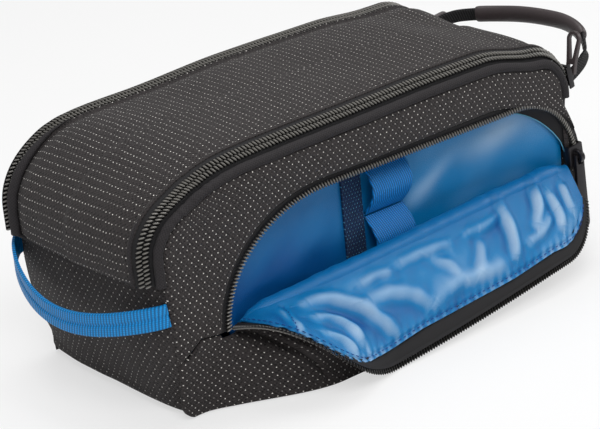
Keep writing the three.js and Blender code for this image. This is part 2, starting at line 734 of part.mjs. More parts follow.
function addFlap(flap) {
  const outline = flapOutline(zipLip, flapStart);
  const layer = (shape, depth) => (u, v) => {
    const p = shape(u, v);
    return new THREE.Vector3(p.x, -faceDepth + depth, p.y);
  };
  addMesh(flap, 'flap_panel', sheetBody(
    layer(outline, 0), layer(outline, flapThickness), 26, 2), 'cloth');
  const liningFace = faceDepth - pocketZipY + tapeThickness + gap;
  const liningShape = flapOutline(flapFacingWidth, flapStart + foldClear);
  addMesh(flap, 'flap_lining', sheetBody(
    layer(liningShape, liningFace), layer(liningShape, liningFace + liningThickness), 22, 2), 'lining');
  const facingRun = [archLeftArc, archRun, archRightArc(flapRowStartAngle)];
  const facing = archStations(facingRun, [12, 2, 8], -1);
  facing[0].place.z += foldClear;
  facing[0].out.set(1, 0, 0);
  const facingBase = -tapeThickness - gap;
  const facingProfile = [
    flat2(coilSlot + coilWidth + 2 * gap, facingBase), flat2(flapFacingWidth - gap, facingBase),
    flat2(flapFacingWidth - gap, facingBase - liningThickness),
    flat2(coilSlot + coilWidth + 2 * gap, facingBase - liningThickness),
  ];
  addMesh(flap, 'flap_facing', sweep(facing, () => facingProfile), 'trim');
}

// Elastic loops over a backing strip on the pocket's back wall
function addElastic(root) {
  const wall = -pocketBack - gap;
  const strip = new THREE.BoxGeometry(stripWidth, loopThickness, loopTop - loopBottom);
  strip.translate(stripLeft + stripWidth / 2, wall - loopThickness / 2, (loopTop + loopBottom) / 2);
  addMesh(root, 'elastic_backing_strip', strip, 'navy');
  const span = (name, low, high) => {
    const steps = 10;
    const stations = [];
    for (let i = 0; i <= steps; i += 1) {
      const share = i / steps;
      const angle = Math.PI * share;
      const slope = (loopReach * Math.PI * Math.cos(angle)) / (high - low);
      const rise = new THREE.Vector3(0, -1, -slope).normalize();
      stations.push({
        place: new THREE.Vector3(loopCentre, wall - loopReach * Math.sin(angle), lerp(low, high, share)),
        out: new THREE.Vector3(1, 0, 0),
        rise,
      });
    }
    const band = [flat2(-loopWidth / 2, 0), flat2(loopWidth / 2, 0),
      flat2(loopWidth / 2, loopThickness), flat2(-loopWidth / 2, loopThickness)];
    addMesh(root, name, sweep(stations, () => band), 'webbing');
  };
  span('upper_elastic_loop', loopSeam + loopThickness, loopTop);
  span('lower_elastic_loop', loopBottom, loopSeam - loopThickness);
}

function addMeshPocket(root) {
  const place = (depth, low, high) => (u, v) => {
    const x = lerp(-meshHalfLength, meshHalfLength, u);
    const z = lerp(low, high, v);
    const height = (z - meshBottom) / (meshTop - meshBottom);
    const bow = meshStandOff * Math.sqrt(Math.max(1 - (2 * u - 1) ** 4, 0)) * Math.sin(Math.PI * Math.min(height, 1) / 2);
    return new THREE.Vector3(x, liningWall(z) - liningThickness - gap - bow - depth, z);
  };
  const bindingStart = meshTop + gap;
  addMesh(root, 'mesh_pocket', sheetBody(
    place(0, meshBottom, meshTop), place(meshThickness, meshBottom, meshTop), 12, 4), 'trim');
  addMesh(root, 'mesh_pocket_binding', sheetBody(
    place(0, bindingStart, bindingStart + bindingHeight),
    place(bindingThickness, bindingStart, bindingStart + bindingHeight), 12, 1), 'webbing');
}

// Grab strap: sewn into the front and rear seams of the left end, hanging off it between
function addGrabStrap(root) {
  const halfSpan = faceY(strapFrontHeight) - panelThickness - gap;
  const steps = 24;
  const groove = strapThickness / 4;
  const band = [
    flat2(-strapWidth / 2, 0), flat2(strapWidth / 2, 0), flat2(strapWidth / 2, strapThickness),
    flat2(groove, strapThickness), flat2(0, strapThickness - groove), flat2(-groove, strapThickness),
    flat2(-strapWidth / 2, strapThickness),
  ];
  const route = (share) => {
    const swing = Math.sin(Math.PI * share);
    const x = -halfLength + endEdgeDrop - (strapStandOff + endEdgeDrop) * swing ** 0.6;
    const z = strapFrontHeight + strapRearRise * share - strapSag * swing;
    return new THREE.Vector3(x, lerp(-halfSpan, halfSpan, share), z);
  };
  const stations = [];
  for (let i = 0; i <= steps; i += 1) {
    const share = i / steps;
    const step = 1 / steps / 8;
    const ahead = route(Math.min(share + step, 1)).sub(route(Math.max(share - step, 0))).normalize();
    const rise = new THREE.Vector3().crossVectors(up, ahead).negate().normalize();
    const out = new THREE.Vector3().crossVectors(ahead, rise).normalize();
    const outward = rise.x > 0 ? rise.negate() : rise;
    stations.push({ place: route(share), out: out.z < 0 ? out.negate() : out, rise: outward });
  }
  addMesh(root, 'grab_strap', sweep(stations, () => band), 'webbing');
}

// Carry handle: route of its webbing as shares of its span (y), reach (x) and rise (z)
const handleRouteShares = [
  [0, -0.5, 0], [0.24, -0.505, 0.19], [0.55, -0.51, 0.46], [0.7, -0.495, 0.74], [0.84, -0.42, 0.93],
  [0.96, -0.28, 1], [1, -0.11, 1], [0.98, 0.06, 0.98], [0.91, 0.22, 0.93], [0.74, 0.36, 0.84],
  [0.48, 0.455, 0.66], [0.22, 0.495, 0.36], [0, 0.5, 0],
];
const gripStartShare = 0.27;
const gripEndShare = 0.74;

function handleCurve(x, y, z) {
  return new THREE.CatmullRomCurve3(handleRouteShares.map(([out, along, rise]) => new THREE.Vector3(
    x + out * handleReach, y + along * handleSpan, z + rise * handleRise)), false, 'centripetal');
}

function handleStations(curve, from, to, steps) {
  const stations = [];
  for (let i = 0; i <= steps; i += 1) {
    const share = lerp(from, to, i / steps);
    const ahead = curve.getTangentAt(share);
    const rise = new THREE.Vector3().crossVectors(ahead, up).normalize();
    stations.push({ place: curve.getPointAt(share), rise, out: new THREE.Vector3().crossVectors(rise, ahead) });
  }
  return stations;
}

function ovalPoints(width, height, sides) {
  const points = [];
  for (let i = 0; i < sides; i += 1) {
    const angle = (2 * Math.PI * (i + 0.5)) / sides;
    points.push(flat2((width / 2) * Math.cos(angle), (height / 2) * Math.sin(angle)));
  }
  return points;
}

// Where the right end of the gusset lies at a height between its bulge and the lid
function rightEndX(z) {
  const surface = stationsOn([rightUpper], [24]);
  const lower = Math.max(surface.findIndex((s) => s.point.y <= z), 1);
  const a = surface[lower - 1].point;
  const b = surface[lower].point;
  return lerp(b.x, a.x, (z - b.y) / (a.y - b.y));
}

function addHandle(root, handle) {
  const curve = handleCurve(rightEndX(handleHeight) + gap + anchorThickness, 0, handleHeight);
  const halfWidth = handleStrapWidth / 2;
  const halfThickness = handleStrapThickness / 2;
  const strap = [flat2(-halfWidth, -halfThickness), flat2(halfWidth, -halfThickness),
    flat2(halfWidth, halfThickness), flat2(-halfWidth, halfThickness)];
  const strapStations = handleStations(curve, 0, 1, 30);
  addMesh(handle, 'handle_webbing', sweep(strapStations, () => strap), 'trim');
  const gripStations = handleStations(curve, gripStartShare, gripEndShare, 14);
  const ringsOf = (shape) => gripStations.map((s) => shape.map((p) => s.place.clone()
    .addScaledVector(s.out, p.x).addScaledVector(s.rise, p.y)));
  const sides = 10;
  const bore = ovalPoints(handleStrapWidth + 2 * gripBoreClear, handleStrapThickness + 2 * gripBoreClear, sides)
    .map((p) => p.multiplyScalar(1 / Math.cos(Math.PI / 4)));
  const skin = bore.map((p) => p.clone().add(p.clone().normalize().multiplyScalar(gripWall)));
  addMesh(handle, 'handle_grip', skinRings(ringsOf(skin).concat(ringsOf(bore).reverse()), true), 'rubber');
  // Anchors: the webbing's sewn ends, flat on the right end panel below the fold of the webbing
  const fold = strapStations[0];
  const foldZ0 = fold.place.z - Math.abs(fold.out.z) * halfWidth - gap;
  for (const [name, sign] of [['front', -1], ['rear', 1]]) {
    const y = (sign * handleSpan) / 2;
    const innerShare = (Math.abs(y) - anchorWidth / 2) / sideHalfWidth(handleHeight, rightSideMargin);
    const droopAt = -endEdgeDrop * innerShare ** 4;
    const foldX = fold.place.x + Math.abs(fold.out.x) * halfWidth;
    const stations = [0, 1, 2, 3, 4].map((i) => {
      const z = foldZ0 - (anchorHeight * i) / 4;
      const reach = lerp(foldX - anchorThickness - gap, rightEndX(z) + droopAt + 2 * gap, Math.min(i / 2, 1));
      return {
        place: new THREE.Vector3(reach, y, z),
        out: new THREE.Vector3(0, 1, 0),
        rise: new THREE.Vector3(1, 0, 0),
      };
    });
    const patchShape = slabProfile(anchorWidth / 2, () => 0, anchorThickness, 2);
    addMesh(root, `handle_anchor_${name}`, sweep(stations, () => patchShape), 'trim');
  }
}

// A flat outline given thickness, its lower face at the given height
function plate(shape, low, thickness, curveSegments) {
  const geometry = new THREE.ExtrudeGeometry(shape, { depth: thickness, bevelEnabled: false, curveSegments });
  geometry.translate(0, 0, low);
  return geometry;
}

function toSolid(geometry) {
  const bare = geometry.clone();
  bare.deleteAttribute('normal');
  bare.deleteAttribute('uv');
  const merged = mergeVertices(bare);
  return new wasm.Manifold(new wasm.Mesh({
    numProp: 3,
    vertProperties: new Float32Array(merged.attributes.position.array),
    triVerts: new Uint32Array(merged.index.array),
  }));
}

function fromSolid(solid) {
  const mesh = solid.getMesh();
  const geometry = new THREE.BufferGeometry();
  geometry.setAttribute('position', new THREE.BufferAttribute(new Float32Array(mesh.vertProperties), 3));
  geometry.setIndex(new THREE.BufferAttribute(new Uint32Array(mesh.triVerts), 1));
  geometry.computeVertexNormals();
  return geometry;
}

// Slider, along X with its nose at +X and its outer face at +Z: two plates, a fin between them,
// side flanges over the coils and a bridge for the puller
const plateLow = coilHeight + sliderClear;
const plateHigh = plateLow + sliderPlate;
const barHeight = plateHigh + pullerThickness / 2 + sliderClear;
function sliderOutline(length, noseWidth, heelWidth) {
  const shape = new THREE.Shape();
  const corner = noseWidth / 6;
  shape.moveTo(-length / 2, -heelWidth / 2);
  shape.lineTo(length / 6, -noseWidth / 2);
  shape.lineTo(length / 2 - corner, -noseWidth / 2);
  shape.quadraticCurveTo(length / 2, -noseWidth / 2, length / 2, -noseWidth / 2 + corner);
  shape.lineTo(length / 2, noseWidth / 2 - corner);
  shape.quadraticCurveTo(length / 2, noseWidth / 2, length / 2 - corner, noseWidth / 2);
  shape.lineTo(length / 6, noseWidth / 2);
  shape.lineTo(-length / 2, heelWidth / 2);
  shape.closePath();
  return shape;
}

function sliderBody(sag) {
  const top = toSolid(plate(sliderOutline(sliderLength, sliderWidth, sliderHeelWidth + 2 * sliderFlange),
    plateLow, sliderPlate, 3));
  const lowerTop = -tapeThickness - sag;
  const bottom = toSolid(plate(
    sliderOutline(sliderLength, sliderLowerWidth, sliderLowerWidth), lowerTop - sliderPlate, sliderPlate, 3));
  const fin = new THREE.BoxGeometry(sliderLength * 0.4, sliderFin, plateHigh - lowerTop + sliderPlate / 2);
  fin.translate(0, 0, (plateHigh + lowerTop - sliderPlate) / 2 + sliderPlate / 4);
  let solid = top.add(bottom).add(toSolid(fin));
  for (const sign of [-1, 1]) {
    const flangeHeight = plateLow - sliderClear;
    const flange = new THREE.BoxGeometry(sliderLength, sliderFlange, flangeHeight + sliderPlate / 2);
    const skew = Math.atan2((sliderWidth - sliderHeelWidth - 2 * sliderFlange) / 2, sliderLength) * sign;
    flange.translate(0, sign * (sliderWidth - sliderFlange) / 2, plateLow - flangeHeight / 2 + sliderPlate / 4);
    flange.rotateZ(skew * 0);
    solid = solid.add(toSolid(flange));
  }
  const archShape = new THREE.Shape();
  const legFoot = plateHigh - sliderPlate / 2;
  archShape.moveTo(-bridgeRadius, legFoot);
  archShape.lineTo(bridgeRadius, legFoot);
  archShape.lineTo(bridgeRadius, barHeight);
  archShape.absarc(0, barHeight, bridgeRadius, 0, Math.PI, false);
  archShape.closePath();
  const hole = new THREE.Path();
  const holeRadius = bridgeRadius - bridgeWall;
  hole.moveTo(-holeRadius, plateHigh);
  hole.lineTo(-holeRadius, barHeight - pullerBarRadius / 2);
  hole.absarc(0, barHeight - pullerBarRadius / 2, holeRadius, Math.PI, 0, true);
  hole.lineTo(holeRadius, plateHigh);
  hole.closePath();
  archShape.holes.push(hole);
  const bridge = new THREE.ExtrudeGeometry(archShape, { depth: bridgeWidth, bevelEnabled: false, curveSegments: 8 });
  bridge.translate(0, 0, -bridgeWidth / 2);
  bridge.rotateX(Math.PI / 2);
  return fromSolid(solid.add(toSolid(bridge)));
}

// Eye of a puller: a cross bar inside the bridge and two arms that pass beside it
const eyeHalf = bridgeWidth / 2 + sliderClear + pullerArm;
const eyeLength = bridgeRadius + 2 * sliderClear;
function eyeHole() {
  const half = bridgeWidth / 2 + sliderClear;
  const hole = new THREE.Path();
  hole.moveTo(pullerBarRadius, -half);
  hole.lineTo(pullerBarRadius, half);
  hole.lineTo(eyeLength, half);
  hole.lineTo(eyeLength, -half);
  hole.closePath();
  return hole;
}

function loopPullerBody() {
  const shape = new THREE.Shape();
  const ring = loopPullerLength - loopPullerRing;
  const shoulder = eyeLength + pullerArm;
  shape.moveTo(-pullerBarRadius, -eyeHalf);
  shape.lineTo(shoulder, -eyeHalf);
  shape.lineTo(ring, -loopPullerRing);
  shape.absarc(ring, 0, loopPullerRing, -Math.PI / 2, Math.PI / 2, false);
  shape.lineTo(shoulder, eyeHalf);
  shape.lineTo(-pullerBarRadius, eyeHalf);
  shape.closePath();
  const hole = new THREE.Path();
  const tip = shoulder + pullerArm;
  hole.moveTo(tip, -pullerBarRadius);
  hole.lineTo(tip, pullerBarRadius);
  hole.lineTo(ring, loopPullerHole);
  hole.absarc(ring, 0, loopPullerHole, Math.PI / 2, -Math.PI / 2, true);
  hole.closePath();
  shape.holes.push(eyeHole(), hole);
  return plate(shape, -pullerThickness / 2, pullerThickness, 8);
}

function longPullerBody() {
  const shape = new THREE.Shape();
  const end = longPullerLength - longPullerWidth / 2;
  shape.moveTo(-pullerBarRadius, -eyeHalf);
  shape.lineTo(eyeLength + pullerArm, -longPullerWaist / 2);
  shape.lineTo(end, -longPullerWidth / 2);
  shape.absarc(end, 0, longPullerWidth / 2, -Math.PI / 2, Math.PI / 2, false);
  shape.lineTo(eyeLength + pullerArm, longPullerWaist / 2);
  shape.lineTo(-pullerBarRadius, eyeHalf);
  shape.closePath();
  shape.holes.push(eyeHole());
  return plate(shape, -pullerThickness / 2, pullerThickness, 8);
}

// A group whose X runs along travel, Z along outward, at a place
function frameGroup(place, travel, outward) {
  const group = new THREE.Group();
  const across = new THREE.Vector3().crossVectors(outward, travel).normalize();
  group.quaternion.setFromRotationMatrix(new THREE.Matrix4().makeBasis(travel, across, outward));
  group.position.copy(place);
  return group;
}

function addSlider(parent, name, place, travel, outward, sag, pullerAngle, pullerBody) {
  const group = frameGroup(place, travel, outward);
  addMesh(group, `${name}_slider`, sliderBody(sag), 'metal');
  const pivot = new THREE.Group();
  pivot.position.set(0, 0, barHeight);
  pivot.rotation.y = -degrees(pullerAngle);
  addMesh(pivot, `${name}_puller`, pullerBody, 'metal');
  group.add(pivot);
  parent.add(group);
}

// Main sliders rest on the right corner, their noses up, and the pocket's at its right end
function addSliders(root) {
  const angle = degrees(mainSliderAngle);
  const outward = new THREE.Vector3(Math.cos(angle), 0, Math.sin(angle));
  const travel = new THREE.Vector3(-Math.sin(angle), 0, Math.cos(angle));
  for (const [name, sign, pullerAngle] of [['front', -1, frontPullerAngle], ['rear', 1, rearPullerAngle]]) {
    const place = new THREE.Vector3(
      endCornerCentre.x + endCornerRadius * Math.cos(angle), sign * zipY,
      endCornerCentre.y + endCornerRadius * Math.sin(angle));
    addSlider(root, name, place, travel, outward, mainSliderSag, pullerAngle, loopPullerBody());
  }
  const low = degrees(pocketSliderAngle);
  const pocketPlace = new THREE.Vector3(
    archRightCentre + archRightRadius * Math.cos(low), -pocketZipY,
    archRightCentreHeight + archRightRadius * Math.sin(low));
  const down = new THREE.Vector3(Math.sin(low), 0, -Math.cos(low));
  addSlider(root, 'pocket', pocketPlace, down, new THREE.Vector3(0, -1, 0), pocketSliderSag,
    pocketPullerAngle, longPullerBody());
}

function buildBag() {
  const lid = new THREE.Group();
  const handle = new THREE.Group();
  const flapPivot = new THREE.Group();
  const flap = new THREE.Group();
  const foldStart = new THREE.Vector3(archLeft, -foldDepth, archBase);
  const foldAxis = new THREE.Vector3(foldLength, 0, foldRise).normalize();
  flapPivot.position.copy(foldStart);
  flapPivot.quaternion.setFromAxisAngle(foldAxis, degrees(flapOpenAngle));
  flap.position.copy(foldStart).negate();
  flapPivot.add(flap);
  bag.add(lid, handle, flapPivot);
  addFrontPanel(bag);
  addLowerFront(bag);
  addBottom(bag);
  addBackAndLinings(bag);
  addEndPanels(bag);
  addPocketLining(bag);
  addElastic(bag);
  addMeshPocket(bag);
  addGrabStrap(bag);
  addPocketZip(bag, flap);
  addFlap(flap);
  addLid(lid);
  addHandle(bag, handle);
  for (const [name, sign] of [['front', -1], ['rear', 1]]) {
    addMainZip(bag, lid, name, sign);
    addPiping(bag, name, sign);
  }
  addSliders(bag);
}

buildBag();

export default bag;
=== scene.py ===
import math
from types import SimpleNamespace

import bmesh
import bpy
import numpy as np
from bpy.props import FloatProperty, FloatVectorProperty, PointerProperty
from mathutils import Matrix, Vector
from numpy import arange, array, broadcast_to, clip, concatenate, cos, interp, linspace, maximum, minimum, pi
from numpy import radians, sin, sqrt, stack, tile, where
from numpy.linalg import norm


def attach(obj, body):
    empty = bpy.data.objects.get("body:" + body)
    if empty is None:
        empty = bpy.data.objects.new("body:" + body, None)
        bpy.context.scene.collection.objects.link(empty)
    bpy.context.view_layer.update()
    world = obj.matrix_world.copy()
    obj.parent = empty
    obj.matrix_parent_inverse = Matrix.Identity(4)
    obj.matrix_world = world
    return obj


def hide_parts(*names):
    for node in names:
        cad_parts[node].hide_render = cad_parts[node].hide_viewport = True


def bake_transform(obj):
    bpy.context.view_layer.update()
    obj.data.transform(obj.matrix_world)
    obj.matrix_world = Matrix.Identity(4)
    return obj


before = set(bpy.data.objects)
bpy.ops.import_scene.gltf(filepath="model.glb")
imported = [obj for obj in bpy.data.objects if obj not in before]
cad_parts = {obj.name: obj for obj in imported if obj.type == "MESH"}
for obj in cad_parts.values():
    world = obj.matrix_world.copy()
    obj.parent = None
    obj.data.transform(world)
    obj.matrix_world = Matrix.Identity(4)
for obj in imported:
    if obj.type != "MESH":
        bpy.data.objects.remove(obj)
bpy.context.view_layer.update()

bl_info = {
    "name": "Toiletry bag",
    "version": (1, 0, 0),
    "blender": (4, 5, 0),
    "location": "View3D > Sidebar > Bag",
    "description": "Builds the cloth, zips, straps and stage of a soft toiletry bag",
    "category": "Add Mesh",
}

MM = 0.001
TURN = 2 * math.pi

# How far the worn cloth strays from its pattern, in millimetres
WAVER_DEPTH, WAVER_HEIGHT, REAR_RISE = 0.7, 0.55, 1.8
SAG = 6.2
TUCK = 7
TUCK_CENTRE, TUCK_RADIUS = (-90, 76), 35
TUCK_SHARES = ((-97, -91, -83, -75, -62, -30, -5, 30), (1, 0.84, 0.6, 0.46, 0.35, 0.19, 0.1, 0))

# Degrees by which the flap lies open, and the two places along the bag between which that grows
FLAP_OPEN = 141
FLAP_BLEND = (-156, -20)
FLAP_INSET = 4.7

# Angles on the arch's right curve where the body side and the flap side of the pocket's zip end
BODY_ZIP_END, FLAP_ZIP_END = 10, 24

# Zip tapes: where they begin and the thickness of the cloth
TAPE_START, TAPE_THICK = 0.02, 0.65

# By share of the pocket zip's length, how far the satin stops short of the zip
FACING_SHARES = (0, 0.2, 0.27, 0.33, 0.46, 0.6, 0.7, 0.82, 0.93, 1)
FACING_WIDTHS = (3.6, 3.8, 5, 8, 9.5, 8.5, 7.5, 8, 5, 3.6)

# Folds of the satin: a line of (place along the bag, distance from the fold), its height and width
SATIN_FOLDS = (
    (((-52, 10), (-44, 10), (-33, 15), (-24, 22), (-19, 30), (-15, 38)), 2.7, 4.0),
    (((-54, 19), (-44, 21), (-38, 27), (-37, 35)), 2.3, 3.2),
    (((-57, 30), (-48, 34), (-45, 40)), 1.5, 2.6),
    (((-21, 19), (-8, 20), (3, 25), (9, 33)), 2.1, 4.2),
    (((-21, 11), (-10, 10), (-2, 12)), 1.4, 2.6),
    (((3, 10), (19, 10), (33, 11)), 1.6, 2.9),
    (((11, 34), (23, 29), (39, 31), (56, 32)), 1.8, 4.0),
    (((70, 2), (70, 13), (68, 23), (64, 31)), 2.2, 3.0),
    (((45, 11), (56, 12), (66, 10)), 1.5, 2.7),
    (((93, 4), (91, 14), (84, 22)), 2.3, 2.7),
    (((99, 11), (100, 21), (98, 28)), 2.0, 2.6),
    (((109, 9), (108, 22)), 1.6, 2.2),
    (((75, 28), (86, 26), (95, 21)), 1.6, 2.6),
    (((-65, 12), (-68, 22), (-69, 30)), 1.3, 2.4),
    (((20, 14), (28, 20), (30, 27)), 1.0, 2.8),
    (((50, 16), (47, 24), (40, 30)), 1.2, 2.6),
)

# The sewn seam across the satin's left part, in the same two measures
SATIN_SEAM = array([(-63.0, 8.0), (-72.0, 31.0)])

# The camera: turn, height and roll in radians, distance, aim and its shift in millimetres, and its lens
CAMERA_TURN, CAMERA_RISE, CAMERA_ROLL = 0.65338, 0.37696, -0.101815
CAMERA_FAR, CAMERA_AIM, CAMERA_SHIFT = 1037.776, (0, 0, 50), (-0.68887, -4.2624)
LENS, SENSOR = 132, 36


# Sizes and colours


def length(size, name, text):
    """A size or place in millimetres, kept in metres as Blender's own lengths are."""
    return FloatProperty(
        name=name, description=text, default=size * MM, min=-0.5, max=0.5, subtype="DISTANCE", unit="LENGTH"
    )


def tint(red, green, blue, name, text):
    """A colour from the 0 to 255 steps of a picture: ((c + 0.055) / 1.055)^2.4."""
    linear = [((c / 255 + 0.055) / 1.055) ** 2.4 for c in (red, green, blue)]
    return FloatVectorProperty(
        name=name, description=text, subtype="COLOR", size=3, default=linear, min=0.0, max=1.0
    )


class BagSizes(bpy.types.PropertyGroup):
    """The bag's own sizes; x runs along the bag, y into it and z up."""

    long: length(250, "Length", "Body at its widest")
    high: length(111, "Height", "Body height")
    zip_y: length(51.7, "Zip depth", "Main zips from the middle plane")
    seam_z: length(66, "Lid seam", "Height of the lid's low left seam")
    lid_radius: length(35, "Lid corner", "Radius of the lid's left corner")
    face_y: length(58.3, "Face depth", "Faces from the middle plane")
    fabric: length(1.8, "Cloth", "Cloth with its foam")
    arch_left: length(-88, "Arch foot", "Left foot of the pocket's arch")
    arch_top: length(82, "Arch height", "Height of the arch's top")
    fold_end: length(120.2, "Fold end", "Right end of the flap's fold")
    pocket_deep: length(11, "Pocket depth", "Room between the pocket's walls")
    slump: length(24, "Slump", "Lower front at the floor")
    strap_wide: length(10.6, "Strap width", "Width of the grab strap")


# Sizes in millimetres that follow from the sewing: places along the bag and depths are from its middle
SEWN = dict(
    base_radius=8, left_lean=8, right_lean=8, bulge_z=50, lid_drop=4, face_base_y=54.5, taper_z=40,
    lining=0.7, gap=0.35, coil=2.7, piping=2.7, piping_out=5.4, piping_down=3.7, arch_run=60, arch_x=90,
    arch_centre_z=47, arch_radius=35, fold_rise=10, fold_y=57.4, end_radius=21, bulge=5, crown=2, arch_z=34,
    pitch=1.9, loop_x=15,
)


class BagColours(bpy.types.PropertyGroup):
    """The bag's colours."""

    cloth: tint(46, 42, 42, "Cloth", "Charcoal knit")
    dots: tint(250, 246, 240, "Dots", "Dots of the knit")
    trim: tint(26, 25, 27, "Tape", "Tapes and facing")
    piping: tint(41, 38, 40, "Piping", "Piping cloth")
    # The satin painted at three levels of light: painted shade, its flat colour and painted highlight
    satin_painted_shade: tint(0, 84, 150, "Satin, hollows", "Satin turned from the light")
    satin: tint(0, 124, 186, "Satin", "Satin that lies flat")
    satin_painted_highlight: tint(170, 202, 232, "Satin, crests", "Satin turned to the light")
    lining: tint(10, 118, 186, "Lining", "Main lining")
    webbing: tint(4, 130, 200, "Webbing", "Grab strap and net binding")
    elastic: tint(0, 112, 184, "Elastic", "Pocket loops")
    navy: tint(12, 40, 78, "Navy elastic", "Loops' backing strip")
    teal: tint(90, 160, 190, "Strip dots", "Dots of that strip")
    # A light coil colour that the coil material darkens to painted shade and brightens to painted highlight
    coil: tint(92, 90, 86, "Coil", "Zip coils")
    enamel: tint(34, 32, 35, "Enamel", "Sliders, pocket puller")
    rubber: tint(66, 58, 59, "Rubber", "Grip and loop pullers")
    thread: tint(20, 70, 140, "Thread", "Satin stitches")


# Curves and surfaces, in millimetres


def arc(centre, radius, start, end, steps=24):
    """Points on an ellipse round a centre, from one angle in degrees to another."""
    turn = radians(linspace(start, end, steps + 1))
    radius = broadcast_to(radius, 2)
    return np.c_[centre[0] + radius[0] * cos(turn), centre[1] + radius[1] * sin(turn)]


def bend(a, b, c, steps=24):
    """A curve that leaves a towards b and reaches c from b: (1-t)^2 a + 2t(1-t) b + t^2 c."""
    t = linspace(0, 1, steps + 1)[:, None]
    return (1 - t) ** 2 * array(a) + 2 * t * (1 - t) * array(b) + t**2 * array(c)


def smooth(x, low, high):
    """A soft step, 0 below low and 1 above high: t^2 (3 - 2t)."""
    t = clip((np.asarray(x, float) - low) / (high - low), 0, 1)
    return t * t * (3 - 2 * t)


def hill(x, middle, wide):
    """A round hill, 1 at its middle: exp(-((x - middle) / wide)^2)."""
    return np.exp(-(((x - middle) / wide) ** 2))


def dip(distance, wide, deep):
    """How a padded edge rolls down to its seam: deep * (1 - sqrt(1 - (1 - d/w)^2))."""
    t = clip(1 - distance / wide, 0, 1)
    return deep * (1 - sqrt(maximum(1 - t * t, 0)))


def mix(a, b, t):
    """The value a share t of the way from a to b: a + (b - a) t."""
    return a + (b - a) * t


def around(sides):
    """Even angles round a circle."""
    return arange(sides) * TURN / sides


def unit(vectors):
    """Vectors brought to length 1."""
    return vectors / norm(vectors, axis=-1, keepdims=True)


def xyz(x, y, z):
    """A grid of points from three grids, lines or numbers."""
    return stack(np.broadcast_arrays(x, y, z), -1).astype(float)


def pair(a, b):
    """A grid of two measures, such as a UV in millimetres."""
    return stack(np.broadcast_arrays(a, b), -1)


def cross_grid(a, b):
    """Two lines of values spread over a grid."""
    return np.meshgrid(a, b, indexing="ij")


def lengths_along(points):
    """Distance of each point from the first, measured along the line."""
    return np.r_[0, np.cumsum(norm(np.diff(points, axis=0), axis=1))]


class Track:
    """A plane curve and its outward normals at any distance along it."""

    def __init__(self, *runs):
        points = concatenate([runs[0]] + [run[1:] for run in runs[1:]])
        steps = norm(np.diff(points, axis=0), axis=1)
        self.points = points[np.r_[True, steps > 1e-6]]
        self.at = lengths_along(self.points)
        self.long = self.at[-1]
        ahead = unit(np.gradient(self.points, self.at, axis=0))
        self.normals = np.c_[-ahead[:, 1], ahead[:, 0]]

    def place(self, s, lift=0.0):
        """The point at distance s, lifted along the normal."""
        s = np.asarray(s, float)
        point = stack([interp(s, self.at, self.points[:, k]) for k in (0, 1)], -1)
        normal = unit(stack([interp(s, self.at, self.normals[:, k]) for k in (0, 1)], -1))
        return point + normal * np.asarray(lift)[..., None], normal

    def offset(self, lift):
        """Another track beside this one."""
        return Track(self.points + self.normals * lift)


def on_track(track, s, y, lift):
    """Points at distance s along a track, lifted along its normal, at depth y."""
    point, _ = track.place(s, lift)
    return xyz(point[..., 0], y, point[..., 1])


def drift(a, b, seed, size, count=6):
    """Slow even waves over two coordinates: a mean of sines in random directions."""
    rng = np.random.default_rng(seed)
    total = 0
    for _ in range(count):
        way, phase, rate = rng.uniform(0, TURN), rng.uniform(0, TURN), rng.uniform(0.6, 1.5)
        total = total + sin(TURN * rate / size * (a * cos(way) + b * sin(way)) + phase)
    return total / count


def normals_of(grid):
    """Unit normals of a grid of points, from its two directions' cross product."""
    out = np.cross(np.gradient(grid, axis=0), np.gradient(grid, axis=1))
    return out / maximum(norm(out, axis=-1, keepdims=True), 1e-9)


def soften(points):
    """The hand-sewn waver that the body's cloth shares, with its sunk and drawn-in corners.

    Depth and height get drift waves, which fade towards the sliders and the floor.
    """
    x, y, z = points[..., 0], points[..., 1], points[..., 2]
    sliders, floor = (70, 108), (2, 25)
    fade = (1 - smooth(x, *sliders)) * smooth(z, *floor)
    rise_left, rise_right, rise_back, rise_top = (-60, 0), (60, 92), (-10, 50), (60, 105)
    rear = smooth(x, *rise_left) * (1 - smooth(x, *rise_right)) * smooth(y, *rise_back) * smooth(z, *rise_top)
    moved = array(points, float)
    moved[..., 1] += WAVER_DEPTH * fade * drift(x, z, 3, 120)
    moved[..., 2] += WAVER_HEIGHT * fade * drift(x, y, 5, 110) - corner_sag(x, y, z) + REAR_RISE * rear
    return moved + corner_tuck(x, y, z)


def corner_sag(x, y, z):
    """How far the lid's right corner has sunk, in full at the front zip only."""
    along, high, deep = (72, 108), (60, 92), (5, 50)
    return SAG * smooth(x, *along) * smooth(z, *high) * (1 - smooth(y, *deep))


def corner_tuck(x, y, z):
    """How the lid's left corner is drawn in towards its centre, half as much at the rear zip.

    It grows with the angle round the corner and dies away with the depth below the rim.
    """
    side, rise = minimum(x - TUCK_CENTRE[0], 0), maximum(z - TUCK_CENTRE[1], 0)
    radius = maximum(np.hypot(side, rise), 1e-6)
    angle = np.degrees(np.arctan2(rise, -side))
    angles, depths, sides = (6, 64), (2, 24), (-52, 52)
    amount = TUCK * smooth(angle, *angles) * interp(x, *TUCK_SHARES)
    amount = amount * (1 - smooth(TUCK_RADIUS - radius, *depths)) * (1 - 0.5 * smooth(y, *sides))
    return xyz(-side / radius * amount, 0, -rise / radius * amount)


# Meshes


def link(name, mesh):
    """An object for a mesh, in the scene."""
    piece = bpy.data.objects.new(name, mesh)
    bpy.context.scene.collection.objects.link(piece)
    return piece


